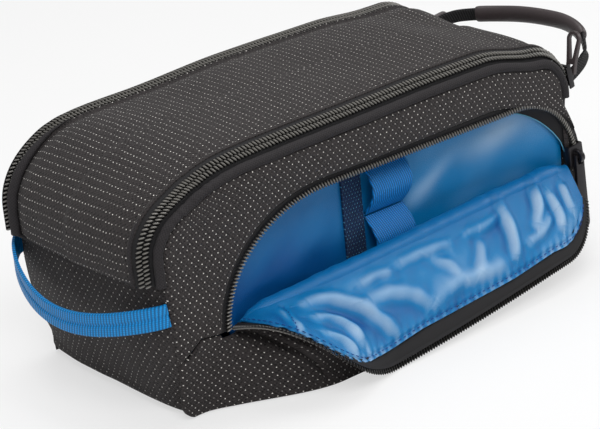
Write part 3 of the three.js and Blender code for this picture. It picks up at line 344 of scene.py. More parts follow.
def build_mesh(name, points, faces, uv=None, smooth_angle=45):
    """A mesh object from points in millimetres and faces of as many corners each."""
    faces = np.asarray(faces, np.int32)
    mesh = bpy.data.meshes.new(name)
    mesh.vertices.add(len(points))
    mesh.vertices.foreach_set("co", (np.asarray(points, float) * MM).astype(np.float32).ravel())
    mesh.loops.add(faces.size)
    mesh.loops.foreach_set("vertex_index", faces.ravel())
    mesh.polygons.add(len(faces))
    mesh.polygons.foreach_set("loop_start", arange(0, faces.size, faces.shape[1], dtype=np.int32))
    if uv is not None:
        layer = mesh.uv_layers.new(name="UVMap")
        layer.data.foreach_set("uv", np.asarray(uv, np.float32)[faces.ravel()].ravel())
    mesh.update(calc_edges=True)
    mesh.polygons.foreach_set("use_smooth", np.ones(len(faces), bool))
    mesh.set_sharp_from_angle(angle=math.radians(smooth_angle))
    return link(name, mesh)


def signed_volume(points, quads):
    """Six times a closed mesh's volume, below zero when its faces point inwards."""
    a, b, c, d = (points[quads[:, k]] for k in range(4))
    return np.einsum("ij,ij->i", a, np.cross(b, c) + np.cross(c, d)).sum()


def cut_size(grid):
    """Width, length and area in millimetres of a grid, measured along the cloth."""
    wide = norm(np.diff(grid, axis=0), axis=-1).sum(0).max()
    long = norm(np.diff(grid, axis=1), axis=-1).sum(1).max()
    one, two = grid[1:, 1:] - grid[:-1, :-1], grid[1:, :-1] - grid[:-1, 1:]
    area = norm(np.cross(one, two), axis=-1).sum() / 2
    return wide, long, min(area, wide * long)


def shell(name, outer, inner, uv):
    """A closed piece between two grids of points, joined round their four edges."""
    cut_size((outer + inner) / 2)
    rows, columns = outer.shape[:2]
    near = arange(rows * columns).reshape(rows, columns)
    far = near + rows * columns
    corners = (
        (near[:-1, :-1], near[:-1, 1:], near[1:, 1:], near[1:, :-1]),
        (far[1:, :-1], far[1:, 1:], far[:-1, 1:], far[:-1, :-1]),
        (near[0, 1:], near[0, :-1], far[0, :-1], far[0, 1:]),
        (near[-1, :-1], near[-1, 1:], far[-1, 1:], far[-1, :-1]),
        (near[:-1, 0], near[1:, 0], far[1:, 0], far[:-1, 0]),
        (near[1:, -1], near[:-1, -1], far[:-1, -1], far[1:, -1]),
    )
    faces = concatenate([stack(four, -1).reshape(-1, 4) for four in corners])
    points = concatenate([outer.reshape(-1, 3), inner.reshape(-1, 3)])
    if signed_volume(points, faces) < 0:
        faces = faces[:, ::-1]
    return build_mesh(name, points, faces, tile(uv.reshape(-1, 2), (2, 1)))


def ring_quads(count, sides):
    """Faces between rings of points that follow each other."""
    index = arange(count * sides).reshape(count, sides)
    turned = np.roll(index, -1, axis=1)
    return stack([index[:-1], turned[:-1], turned[1:], index[1:]], -1).reshape(-1, 4)


def tube(name, rings, smooth_angle=45):
    """A closed tube through rings of points; its UV is (along, around) in millimetres."""
    count, sides = rings.shape[:2]
    quads = ring_quads(count, sides)
    points = rings.reshape(-1, 3)
    caps = []
    for k, order in ((0, 1), (count - 1, -1)):
        middle = len(points) + len(caps) // sides
        ring = arange(k * sides, (k + 1) * sides)[::order]
        caps += [[middle, a, b] for a, b in zip(np.roll(ring, -1), ring)]
    along = lengths_along(rings.mean(1))
    uv = stack(np.broadcast_arrays(along[:, None], lengths_along(rings[count // 2])[None]), -1)
    uv = concatenate([uv.reshape(-1, 2), [[0, 0], [along[-1], 0]]])
    faces = quads.tolist() + caps
    if signed_volume(points, quads) < 0:
        faces = [face[::-1] for face in faces]
    mesh = bpy.data.meshes.new(name)
    mesh.from_pydata((concatenate([points, rings[[0, -1]].mean(1)]) * MM).tolist(), [], faces)
    layer = mesh.uv_layers.new(name="UVMap")
    corners = np.zeros(len(mesh.loops), np.int32)
    mesh.loops.foreach_get("vertex_index", corners)
    layer.data.foreach_set("uv", uv[corners].astype(np.float32).ravel())
    mesh.polygons.foreach_set("use_smooth", np.ones(len(faces), bool))
    mesh.set_sharp_from_angle(angle=math.radians(smooth_angle))
    return link(name, mesh)


def swept(places, outs, rises, out, rise):
    """Rings of points: place + out * its first axis + rise * its second."""
    return places[:, None] + out[..., None] * outs[:, None] + rise[..., None] * rises[:, None]


def ribbon(places, outs, rises, profile):
    """Rings of one profile (out, rise) at each place."""
    return swept(places, outs, rises, profile[None, :, 0], profile[None, :, 1])


def repeat(name, template, faces, places, outs, rises, uv=None):
    """Many copies of a template, each turned to the axes at its place, as one mesh."""
    points = (
        places[:, None]
        + template[None, :, 0:1] * outs[:, None]
        + template[None, :, 1:2] * rises[:, None]
        + template[None, :, 2:3] * np.cross(outs, rises)[:, None]
    ).reshape(-1, 3)
    steps = arange(len(places))[:, None, None] * len(template)
    return build_mesh(name, points, (faces[None] + steps).reshape(-1, faces.shape[1]), uv)


def bar_template(start, end, high, wide, slant, sides=8, rings=6):
    """A rounded bar: its radius is sqrt(1 - |u|^3) at a share u from its middle."""
    u = linspace(-1, 1, rings)
    tip = 0.12
    size = maximum((1 - np.abs(u) ** 3) ** 0.5, tip)
    middle, half = (start + end) / 2, (end - start) / 2
    x = np.repeat(middle + u * half, sides)
    y = np.outer(size, sin(around(sides))).ravel() * high
    z = np.outer(size, cos(around(sides))).ravel() * wide + slant * (x - middle)
    points, quads = np.c_[x, y, z], ring_quads(rings, sides)
    if signed_volume(points, quads) < 0:
        quads = quads[:, ::-1]
    return points, quads


def join(name, pieces):
    """Several mesh objects made into one."""
    with bpy.context.temp_override(
        active_object=pieces[0], selected_editable_objects=pieces, object=pieces[0]
    ):
        bpy.ops.object.join()
    pieces[0].name = pieces[0].data.name = name
    return pieces[0]


# The bag's own curves


class Form:
    """The curves and faces that the pieces share, worked out from the sizes."""

    def __init__(self, z):
        self.z = z
        half, top = z.long / 2, z.high
        self.half = half
        self.left_foot, self.right_foot = -half + z.left_lean, half - z.right_lean
        self.lid_centre = lid = (-half + z.lid_radius, top - z.lid_radius)
        self.end_centre = end = (half - z.end_radius, top - z.end_radius)
        lid_end_z = end[1] - z.lid_drop
        bulge = (half + z.bulge, z.bulge_z)
        foot, low_share = z.base_radius, 0.45
        left_pull, right_pull = (-half, z.seam_z * low_share), (bulge[0], bulge[1] * low_share)
        self.runs = {
            "left_base": arc((self.left_foot + foot, foot), foot, 270, 180, 8),
            "left_side": bend((self.left_foot, foot), left_pull, (-half, z.seam_z)),
            "left_rise": array([(-half, z.seam_z), (-half, lid[1])]),
            "lid_corner": arc(lid, z.lid_radius, 180, 90, 30),
            "top": linspace((lid[0], top), (end[0], top), 20),
            "end_corner": arc(end, z.end_radius, 90, 0, 20),
            "right_drop": array([(half, end[1]), (half, lid_end_z)]),
            "right_upper": bend((half, lid_end_z), (bulge[0], mix(end[1], bulge[1], low_share)), bulge),
            "right_lower": bend(bulge, right_pull, (self.right_foot, foot)),
            "right_base": arc((self.right_foot - foot, foot), foot, 0, -90, 8),
        }
        self.lid_track = self.track("left_rise", "lid_corner", "top", "end_corner", "right_drop")
        self.left_track = self.track("left_base", "left_side")
        self.right_track = self.track("right_upper", "right_lower", "right_base")
        self.face_inset = z.piping_down + z.piping - 0.8
        self.lining_inset = z.piping_down + 3.0
        self.fold_long = z.fold_end - z.arch_left
        self.corner_x = z.arch_left - 5.1
        self.tape_y = z.face_y - z.fabric - z.gap

    def track(self, *names):
        """One track through the named runs."""
        return Track(*(self.runs[name] for name in names))

    def arch_curves(self):
        """Centre and radii of the arch's left and right curves."""
        z = self.z
        left = (z.arch_left + z.arch_run, z.arch_z), (z.arch_run, z.arch_top - z.arch_z)
        right = (z.arch_x, z.arch_centre_z), (z.arch_radius, z.arch_top - z.arch_centre_z)
        return left, right

    def arch_run(self):
        """The straight top of the arch."""
        z = self.z
        return linspace((z.arch_left + z.arch_run, z.arch_top), (z.arch_x, z.arch_top), 20)

    def arch(self, end):
        """The middle line of the pocket's zip, up to an angle on its right curve."""
        left, right = self.arch_curves()
        return Track(arc(*left, 180, 90, 40), self.arch_run(), arc(*right, 90, end, 30))

    def face_y(self, height):
        """Depth of the front and back faces, less near the floor."""
        z = self.z
        return mix(z.face_base_y, z.face_y, smooth(height, 0, z.taper_z))

    def fold_z(self, x):
        """Height of the fold below the pocket, which rises evenly to its right end."""
        z = self.z
        share = (clip(x, z.arch_left, z.fold_end) - z.arch_left) / self.fold_long
        return z.arch_z + z.fold_rise * share

    def slump(self, x):
        """How far the lower front stands out along the bag, from 0 to 1."""
        share = x / self.half
        return smooth(share, -0.9, -0.36) * (1 - smooth(share, 0.3, 0.95))

    def front_edge(self, low):
        """The edge of the front face: the rim drawn in, less so down the right side."""
        z = self.z
        left_end_z, right_inset = 26, 1.2
        track = self.track(
            "left_side", "left_rise", "lid_corner", "top", "end_corner", "right_drop", "right_upper"
        )
        drop = self.end_centre[1] - z.lid_drop
        on_right = track.points[:, 0] > 0
        right = smooth(drop - z.gap - track.points[:, 1], 0, drop - z.bulge_z) * on_right
        points = track.points - track.normals * mix(self.face_inset, right_inset, right)[:, None]
        left_keep = (points[:, 0] < 0) & (track.points[:, 1] >= left_end_z)
        right_keep = (points[:, 0] >= 0) & (points[:, 1] > low)
        return Track(points[left_keep | right_keep])

    def seam_z(self, x):
        """Height of the lower front's seam or fold, with a kink left of the arch's foot."""
        kink_high, seam_drop, fold_drop = 5.5, 0.7, 2.2
        left = self.front_edge(self.z.bulge_z).points[0]
        low = mix(left[1], self.z.arch_z, smooth(x, left[0], self.corner_x))
        share = clip((x - left[0]) / (self.corner_x - left[0]), 0, 1)
        kink = kink_high * (1 - np.abs(2 * share - 1))
        return where(x < self.corner_x, low + kink - seam_drop, self.fold_z(x) - fold_drop)

    def low_front_y(self, x, height, top):
        """Depth of the lower front: upright at the fold, slumped out at the floor."""
        z = self.z
        swell, foot = 2.6, (z.arch_left - z.gap, z.arch_left + 2.6)
        share = clip(height / top, 0, 1)
        slump = self.slump(x)
        top_y = mix(self.face_y(top), z.fold_y - z.gap / 2, smooth(x, *foot))
        return -(mix(z.face_base_y + z.slump * slump, top_y, share) + 4 * swell * slump * share * (1 - share))

    def pocket_wall(self):
        """The pocket lining's upper edge from the middle plane."""
        z = self.z
        tape, facing = 1.05, 1.1
        return z.face_y - z.fabric - 3 * z.gap - tape - facing

    def divider(self):
        """The front lining from the middle plane, behind the pocket."""
        z = self.z
        return self.pocket_wall() - z.pocket_deep - z.lining - 3 * z.gap

    def back_wall(self, height):
        """The back lining from the middle plane: along the face, then in to the piping."""
        z = self.z
        piping_in = z.zip_y + z.piping_out - z.piping - z.gap
        rim = smooth(height, z.seam_z, z.high - z.piping_down - 2 * z.piping)
        return mix(self.face_y(height) - z.fabric - z.gap, piping_in, rim)

    def divider_wall(self, height):
        """The front lining from the middle plane: upright, then out to the piping."""
        z = self.z
        piping_in = z.zip_y + z.piping_out - z.piping - z.gap
        return mix(self.divider(), piping_in, smooth(height, 89, z.high - z.piping_down))


# Materials


def new_material(name, roughness, metallic=0.0, specular=0.5):
    """A material with its node tree and its Principled shader."""
    material = bpy.data.materials.new(name)
    material.use_nodes = True
    shader = material.node_tree.nodes["Principled BSDF"]
    shader.inputs["Roughness"].default_value = roughness
    shader.inputs["Metallic"].default_value = metallic
    shader.inputs["Specular IOR Level"].default_value = specular
    return material, material.node_tree, shader


def math_node(tree, operation, a, b=None, c=None, clamp=False):
    """A math node on up to three sockets or numbers."""
    node = tree.nodes.new("ShaderNodeMath")
    node.operation = operation
    node.use_clamp = clamp
    for socket, value in zip(node.inputs, (a, b, c)):
        if value is None:
            continue
        if isinstance(value, (int, float)):
            socket.default_value = value
        else:
            tree.links.new(value, socket)
    return node.outputs[0]


def times(tree, a, b, clamp=False):
    """a times b."""
    return math_node(tree, "MULTIPLY", a, b, clamp=clamp)


def times_plus(tree, a, b, c, clamp=False):
    """a times b, plus c."""
    return math_node(tree, "MULTIPLY_ADD", a, b, c, clamp)


def sine(tree, a, rate):
    """The sine of a times a rate."""
    return math_node(tree, "SINE", times(tree, a, rate))


def node_of(tree, kind, values=(), group=None, **links):
    """A node with values set and sockets linked by name, and its group."""
    node = tree.nodes.new(kind)
    if group:
        node.node_tree = group
    for key, value in dict(values).items():
        node.inputs[key].default_value = value
    for key, value in links.items():
        tree.links.new(value, node.inputs[key])
    return node


def use_group(tree, group, values=(), **links):
    """A node group placed in a tree."""
    return node_of(tree, "ShaderNodeGroup", values, group, **links)


def mix_colour(tree, factor, a, b):
    """A colour between two colours or sockets."""
    node = tree.nodes.new("ShaderNodeMix")
    node.data_type = "RGBA"
    tree.links.new(factor, node.inputs["Factor"])
    for key, value in (("A", a), ("B", b)):
        socket = [s for s in node.inputs if s.name == key and s.type == "RGBA"][0]
        if isinstance(value, tuple):
            socket.default_value = value
        else:
            tree.links.new(value, socket)
    return [s for s in node.outputs if s.type == "RGBA"][0]


def shade(tree, shader, factor, colour, low, high):
    """Colours a shader between two shares of one colour."""
    ground = mix_colour(tree, factor, rgba(colour, low), rgba(colour, high))
    tree.links.new(ground, shader.inputs["Base Color"])


def bump_into(tree, shader, height, distance, strength=1.0):
    """A bump from a height, into the shader's normal."""
    values = {"Strength": strength, "Distance": distance}
    node = node_of(tree, "ShaderNodeBump", values, Height=height)
    tree.links.new(node.outputs["Normal"], shader.inputs["Normal"])


def rgba(colour, share=1.0):
    """A colour scaled by a share, with full alpha."""
    return tuple(c * share for c in colour) + (1.0,)


def group_shell(name, inputs, outputs):
    """An empty node group with its named sockets, and its two end nodes."""
    group = bpy.data.node_groups.new(name, "ShaderNodeTree")
    for label, kind, value in inputs:
        socket = group.interface.new_socket(label, in_out="INPUT", socket_type=kind)
        if value is not None:
            socket.default_value = value
    for label in outputs:
        group.interface.new_socket(label, in_out="OUTPUT", socket_type="NodeSocketFloat")
    return group, group.nodes.new("NodeGroupInput"), group.nodes.new("NodeGroupOutput")


def spot_node(tree, x, y, wide, high, edge):
    """A soft ellipse: 1 where (x/wide)^2 + (y/high)^2 is under 1 - edge, 0 over 1 + edge."""
    a, b = math_node(tree, "DIVIDE", x, wide), math_node(tree, "DIVIDE", y, high)
    far = math_node(tree, "ADD", times(tree, a, a), times(tree, b, b))
    limits = {"From Min": 1.0 + edge, "From Max": max(1.0 - edge, 0.05)}
    node = node_of(tree, "ShaderNodeMapRange", limits, Value=far)
    node.interpolation_type = "SMOOTHSTEP"
    return node.outputs[0]


def dot_group():
    """Dots on a lattice of unit cells, each an ellipse with a pit beside it.

    Odd rows are shifted by the stagger; white noise of the cell gives its shake and random value.
    """
    if "Woven dots" in bpy.data.node_groups:
        return bpy.data.node_groups["Woven dots"]
    shake_wide, dot_edge, pit_edge, pit_side, pit_drop = 0.14, 0.45, 0.7, 0.3, 0.12
    tree, ins, outs = group_shell(
        "Woven dots",
        (
            ("Cells", "NodeSocketVector", None),
            ("Stagger", "NodeSocketFloat", 0.5),
            ("Width", "NodeSocketFloat", 0.2),
            ("Height", "NodeSocketFloat", 0.25),
        ),
        ("Dot", "Pit", "Random"),
    )
    split = node_of(tree, "ShaderNodeSeparateXYZ", Vector=ins.outputs["Cells"])
    u, v = split.outputs[0], split.outputs[1]
    row = math_node(tree, "FLOOR", v)
    odd = math_node(tree, "MODULO", math_node(tree, "ABSOLUTE", row), 2.0)
    shifted = times_plus(tree, odd, ins.outputs["Stagger"], u)
    cell = node_of(tree, "ShaderNodeCombineXYZ", X=math_node(tree, "FLOOR", shifted), Y=row)
    noise = tree.nodes.new("ShaderNodeTexWhiteNoise")
    noise.noise_dimensions = "3D"
    tree.links.new(cell.outputs[0], noise.inputs["Vector"])
    shake = node_of(tree, "ShaderNodeSeparateXYZ", Vector=noise.outputs["Color"])
    places = []
    for axis, value in enumerate((shifted, v)):
        place = math_node(tree, "SUBTRACT", math_node(tree, "FRACT", value), 0.5)
        moved = math_node(tree, "SUBTRACT", shake.outputs[axis], 0.5)
        places.append(times_plus(tree, moved, shake_wide, place))
    across, along = places
    size = ins.outputs["Width"], ins.outputs["Height"]
    beside = math_node(tree, "SUBTRACT", across, pit_side), math_node(tree, "ADD", along, pit_drop)
    tree.links.new(spot_node(tree, across, along, *size, dot_edge), outs.inputs["Dot"])
    tree.links.new(spot_node(tree, *beside, *size, pit_edge), outs.inputs["Pit"])
    tree.links.new(noise.outputs["Value"], outs.inputs["Random"])
    return tree


def weave_group():
    """A fine plain weave: the product of two crossed sine ribs, with a little noise."""
    if "Plain weave" in bpy.data.node_groups:
        return bpy.data.node_groups["Plain weave"]
    noise_scale, noise_detail, noise_share = 3.0, 3.0, 0.6
    tree, ins, outs = group_shell(
        "Plain weave",
        (("Place", "NodeSocketVector", None), ("Rate", "NodeSocketFloat", 8.0)),
        ("Height",),
    )
    place = ins.outputs["Place"]
    split = node_of(tree, "ShaderNodeSeparateXYZ", Vector=place)
    warp, weft = (sine(tree, split.outputs[axis], ins.outputs["Rate"]) for axis in (0, 1))
    cross = times_plus(tree, times(tree, warp, weft), 0.5, 0.5)
    noise = node_of(tree, "ShaderNodeTexNoise", {"Scale": noise_scale, "Detail": noise_detail}, Vector=place)
    total = times_plus(tree, noise.outputs["Fac"], noise_share, cross)
    tree.links.new(total, outs.inputs["Height"])
    return tree


def scaled_uv(tree, x=1.0, y=1.0):
    """The mesh's own UV, which is in millimetres, scaled to cells."""
    coord = tree.nodes.new("ShaderNodeUVMap")
    coord.uv_map = "UVMap"
    node = tree.nodes.new("ShaderNodeVectorMath")
    node.operation = "MULTIPLY"
    tree.links.new(coord.outputs[0], node.inputs[0])
    node.inputs[1].default_value = (x, y, 1.0)
    return node.outputs[0]


def cloth_material(name, ground, points, cell, stagger, size):
    """Charcoal knit: pale dots on a lattice, with painted shade in the pits beside them, in smaller pits at
    half its pitch and in the weave's hollows.

    A dot's brightness is its random value times a share; the bump is the weave and dots less the pits.
    """
    hollow_share, back_share, knit_share, pit_shade_share, knit_mask = 0.7, 1.5, 2.4, 0.15, 0.35
    weave_rate, weave_mask, random_share, least = 9.0, 0.6, 0.85, 0.25
    dot_high, pit_deep, bump_depth, bump_strength = 1.4, -1.6, 0.00014, 0.9
    material, tree, shader = new_material(name, 0.8, specular=0.3)
    shader.inputs["Sheen Weight"].default_value = 0.06
    shader.inputs["Sheen Roughness"].default_value = 0.5
    cells, half_cells = (scaled_uv(tree, k / cell[0], k / cell[1]) for k in (1, 2))
    lattice = {"Stagger": stagger, "Width": size[0], "Height": size[1]}
    dots = use_group(tree, dot_group(), lattice, Cells=cells)
    weave = use_group(tree, weave_group(), {"Rate": weave_rate}, Place=scaled_uv(tree))
    small = {"Stagger": 0.5, "Width": 0.3, "Height": 0.3}
    knit = use_group(tree, dot_group(), small, Cells=half_cells)
    strength = times_plus(tree, dots.outputs["Random"], random_share, least, clamp=True)
    lit = times(tree, dots.outputs["Dot"], strength, clamp=True)
    fine = times(tree, knit.outputs["Pit"], knit.outputs["Random"], clamp=True)
    dark = math_node(tree, "MAXIMUM", dots.outputs["Pit"], fine, clamp=True)
    woven = times(tree, weave.outputs["Height"], weave_mask, clamp=True)
    # Painted shade in the weave's hollows, painted light on its raised threads
    base = mix_colour(tree, woven, rgba(ground, hollow_share), rgba(ground, back_share))
    light = times(tree, knit.outputs["Dot"], knit_mask, clamp=True)
    base = mix_colour(tree, light, base, rgba(ground, knit_share))
    # Painted shade in the pits beside the dots and in the knit's small pits
    shaded = mix_colour(tree, dark, base, rgba(ground, pit_shade_share))
    painted = mix_colour(tree, lit, shaded, rgba(points))
    tree.links.new(painted, shader.inputs["Base Color"])
    height = times_plus(tree, dots.outputs["Dot"], dot_high, weave.outputs["Height"])
    height = times_plus(tree, dark, pit_deep, height)
    bump_into(tree, shader, height, bump_depth, bump_strength)
    return material


def plain_material(name, colour, roughness, rate=9.0, depth=0.00008, spread=0.25):
    """Plain cloth or tape: a fine weave over one colour, with painted shade in its hollows."""
    weave_mask, bump_strength = 0.6, 0.7
    material, tree, shader = new_material(name, roughness, specular=0.4)
    weave = use_group(tree, weave_group(), {"Rate": rate}, Place=scaled_uv(tree))
    woven = times(tree, weave.outputs["Height"], weave_mask, clamp=True)
    # Painted shade in the weave's hollows
    shade(tree, shader, woven, colour, 1 - spread, 1 + spread)
    bump_into(tree, shader, weave.outputs["Height"], depth, bump_strength)
    return material


def ribbed_material(name, colour, pitch, slant, roughness, spread):
    """Ribbed webbing: a sine of the slanted place along the band, with fine threads; its colour follows the
    ribs, with painted shade in their grooves.
    """
    thread_pitch, thread_share, mask, bump_depth, bump_strength = 0.9, 0.3, 0.9, 0.00025, 0.8
    material, tree, shader = new_material(name, roughness, specular=0.35)
    split = node_of(tree, "ShaderNodeSeparateXYZ", Vector=scaled_uv(tree))
    across = times_plus(tree, split.outputs[1], slant, split.outputs[0])
    rib = times_plus(tree, sine(tree, across, TURN / pitch), 0.5, 0.5)
    fine = sine(tree, split.outputs[1], TURN / thread_pitch)
    thread = times_plus(tree, times(tree, fine, rib), thread_share, rib)
    woven = times(tree, thread, mask, clamp=True)
    # Painted shade in the ribs' grooves, painted light on their crests
    shade(tree, shader, woven, colour, 1 - spread, 1 + spread)
    bump_into(tree, shader, thread, bump_depth, bump_strength)
    return material


def satin_bump(tree, shader, place, grain):
    """The very fine weave and grain that both satins have."""
    rate, grain_high, bump_depth, bump_strength = 16.0, 3.0, 0.00006, 0.7
    weave = use_group(tree, weave_group(), {"Rate": rate}, Place=place)
    height = times_plus(tree, grain.outputs["Fac"], grain_high, weave.outputs["Height"])
    bump_into(tree, shader, height, bump_depth, bump_strength)


def satin_material(name, colour):
    """Smooth lining cloth with a soft shine, its colour drifting a little."""
    material, tree, shader = new_material(name, 0.34, specular=0.62)
    place = scaled_uv(tree)
    soft = node_of(tree, "ShaderNodeTexNoise", {"Scale": 0.05, "Detail": 2.0}, Vector=place)
    shade(tree, shader, soft.outputs["Fac"], colour, 0.85, 1.15)
    grain = node_of(tree, "ShaderNodeTexNoise", {"Scale": 1.6, "Detail": 2.0}, Vector=place)
    satin_bump(tree, shader, place, grain)
    return material


def painted_sheen_material(name, low, middle, high):
    """Loose satin: painted shade in its hollows and painted highlight on its crests, by a stored level of
    painted light.
    """
    speck_share, middle_level = 0.22, 0.4
    material, tree, shader = new_material(name, 0.36, specular=0.4)
    place = scaled_uv(tree)
    shine = tree.nodes.new("ShaderNodeAttribute")
    shine.attribute_name = "shine"
    grain = node_of(tree, "ShaderNodeTexNoise", {"Scale": 2.2, "Detail": 2.0}, Vector=place)
    speck = times_plus(tree, grain.outputs["Fac"], speck_share, -speck_share / 2)
    level = math_node(tree, "ADD", shine.outputs["Fac"], speck)
    ground = rgba(low)
    # Ramp from the painted shade colour through the flat colour to the painted highlight colour
    for start, end, colour in ((0.0, middle_level, middle), (middle_level, 1.0, high)):
        step = node_of(tree, "ShaderNodeMapRange", {"From Min": start, "From Max": end}, Value=level)
        ground = mix_colour(tree, step.outputs["Result"], ground, rgba(colour))
    tree.links.new(ground, shader.inputs["Base Color"])
    satin_bump(tree, shader, place, grain)
    return material


def give_shine(piece, grid):
    """Stores a grid of painted light levels, 0 painted shade to 1 painted highlight, on both faces of a
    shell.
    """
    values = clip(tile(grid.ravel(), 2), 0, 1).astype(np.float32)
    layer = piece.data.attributes.new("shine", "FLOAT", "POINT")
    layer.data.foreach_set("value", values)
    return piece


def coil_material(name, colour):
    """Nylon coil: painted shade darkens each bar at its foot and a painted highlight brightens it along its
    top.
    """
    foot, top, foot_shade_share, top_highlight_share = 0.55, 0.98, 0.08, 2.1
    material, tree, shader = new_material(name, 0.28, specular=0.55)
    axes = node_of(tree, "ShaderNodeSeparateXYZ", Vector=scaled_uv(tree))
    high = node_of(tree, "ShaderNodeMapRange", {"From Min": foot, "From Max": top}, Value=axes.outputs["Y"])
    # Painted shade at each bar's foot, painted highlight along its top
    shade(tree, shader, high.outputs["Result"], colour, foot_shade_share, top_highlight_share)
    return material


def hard_material(name, colour, roughness, metallic=0.0):
    """Enamel, moulding or thread: one colour with a faint grain."""
    grain_scale, spread, bump_depth, bump_strength = 900.0, 0.2, 0.00002, 0.4
    material, tree, shader = new_material(name, roughness, metallic)
    coord = tree.nodes.new("ShaderNodeTexCoord")
    scale = {"Scale": grain_scale, "Detail": 2.0}
    grain = node_of(tree, "ShaderNodeTexNoise", scale, Vector=coord.outputs["Object"])
    shade(tree, shader, grain.outputs["Fac"], colour, 1 - spread, 1 + spread)
    bump_into(tree, shader, grain.outputs["Fac"], bump_depth, bump_strength)
    return material


MATERIALS = {}


def make_materials(colours):
    """The materials: cloths by cell and dot size, webbings by rib pitch and slant."""
    knit = (colours.cloth, colours.dots)
    satin = (colours.satin_painted_shade, colours.satin, colours.satin_painted_highlight)
    MATERIALS.update(
        front=cloth_material("Cloth, staggered dots", *knit, (3.5, 2.15), 0.5, (0.08, 0.13)),
        rows=cloth_material("Cloth, dots in rows", *knit, (3.6, 2.2), 0.0, (0.075, 0.125)),
        end=cloth_material("Cloth, close dots", *knit, (4.2, 2.4), 0.5, (0.07, 0.115)),
        navy=cloth_material("Navy elastic", colours.navy, colours.teal, (1.7, 1.7), 0.5, (0.17, 0.17)),
        trim=plain_material("Dark tape", colours.trim, 0.75),
        piping=plain_material("Piping cloth", colours.piping, 0.85, rate=4.5, depth=0.00022, spread=0.6),
        lining=satin_material("Blue lining", colours.lining),
        satin=painted_sheen_material("Blue satin", *satin),
        webbing=ribbed_material("Blue webbing", colours.webbing, 1.6, 0.25, 0.45, 0.5),
        elastic=ribbed_material("Blue elastic", colours.elastic, 1.2, 0.2, 0.5, 0.6),
        black_webbing=ribbed_material("Black webbing", colours.trim, 1.3, 0.3, 0.6, 0.6),
        coil=coil_material("Coil", colours.coil),
        thread=hard_material("Blue thread", colours.thread, 0.6),
        edging=hard_material("Pale edging", colours.teal, 0.5),
        anchor=hard_material("Anchor webbing", colours.trim, 0.7),
        rubber=hard_material("Moulded rubber", colours.rubber, 0.42),
        enamel=hard_material("Slider enamel", colours.enamel, 0.32, 0.4),
    )


def dress(piece, material, body, *nodes, slot=None):
    """Gives a piece its material, its body and the solids that it stands for."""
    piece.data.materials.clear()
    piece.data.materials.append(MATERIALS[material])
    if body:
        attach(piece, body)
    if nodes:
        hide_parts(*nodes)
    return piece


# Body cloth


def zip_roll(form, s, sign):
    """Degrees by which a main zip faces outwards, the rear one a little inwards."""
    front, rear = 35, -10
    end = form.lid_track.long
    return (front if sign < 0 else rear) * (1 - smooth(s, end - 24, end - 7))


def make_lid(form):
    """The lid's panel and its lining, over the left curve, the top and the right corner.

    Its height is the foam and a crown, crown * (1 - share^2), blended to the rolled tapes at its long
    edges, with a hem, drift waves and dips at its ends.
    """
    z = form.z
    track = form.lid_track
    half = z.zip_y - 3.75 - z.gap
    hem = half - 6
    s = linspace(0.4, track.long, 300)
    left, right = linspace(-half, -hem, 14), linspace(hem, half, 14)
    y = concatenate([left[:-1], linspace(-hem, hem, 50), right[1:]])
    S, Y = cross_grid(s, y)
    share = Y / half
    edge = half - np.abs(Y)
    # At the front the lid starts at the rolled tape's height, at the rear just above the track
    tape_reach, rear_slope, tape_high = 4.1, 0.1, 0.7
    start = where(Y < 0, np.tan(radians(zip_roll(form, S, -1))), rear_slope) * tape_reach + tape_high
    crowned = z.gap + z.fabric + z.crown * (1 - share**2) + 0.4 * start - 0.24
    lift = mix(start, crowned, smooth(edge, 1.5, 13))
    hem_high, hem_at, groove_at, hem_wide = where(Y < 0, 0.6, 1.0), 1.2, 3.4, 0.8
    lift = lift + hem_high * (hill(edge, hem_at, hem_wide) - 0.5 * hill(edge, groove_at, hem_wide))
    lift = lift + smooth(edge, 2.5, 14) * (0.75 * drift(S, Y, 11, 90) + 0.35 * drift(S, Y, 12, 38))
    pucker = (1 - smooth(edge, 3, 12)) * smooth(edge, 1.5, 3)
    lift = lift + 0.16 * pucker * drift(S, Y * 0.2, 13, 9)
    lift = lift - dip(S, 3.0, 1.7) - dip(track.long - S, 2.5, 1.4)
    outer, inner = on_track(track, S, Y, lift), on_track(track, S, Y, lift - z.fabric)
    uv = pair(S, Y + 100)
    piece = shell("lid_cloth", soften(outer), soften(inner), uv)
    dress(piece, "rows", "lid", "lid_panel", slot="cloth")
    room = 0.7 + z.gap
    lift = -room - z.crown * share**2 + 0.2 * drift(S, Y, 15, 30)
    some = slice(0, None, 3)
    outer = on_track(track, S[some], Y[some], lift[some])
    inner = on_track(track, S[some], Y[some], lift[some] - z.lining)
    piece = shell("lid_lining_cloth", soften(outer), soften(inner), uv[some])
    dress(piece, "lining", "lid", "lid_lining", slot="lining")


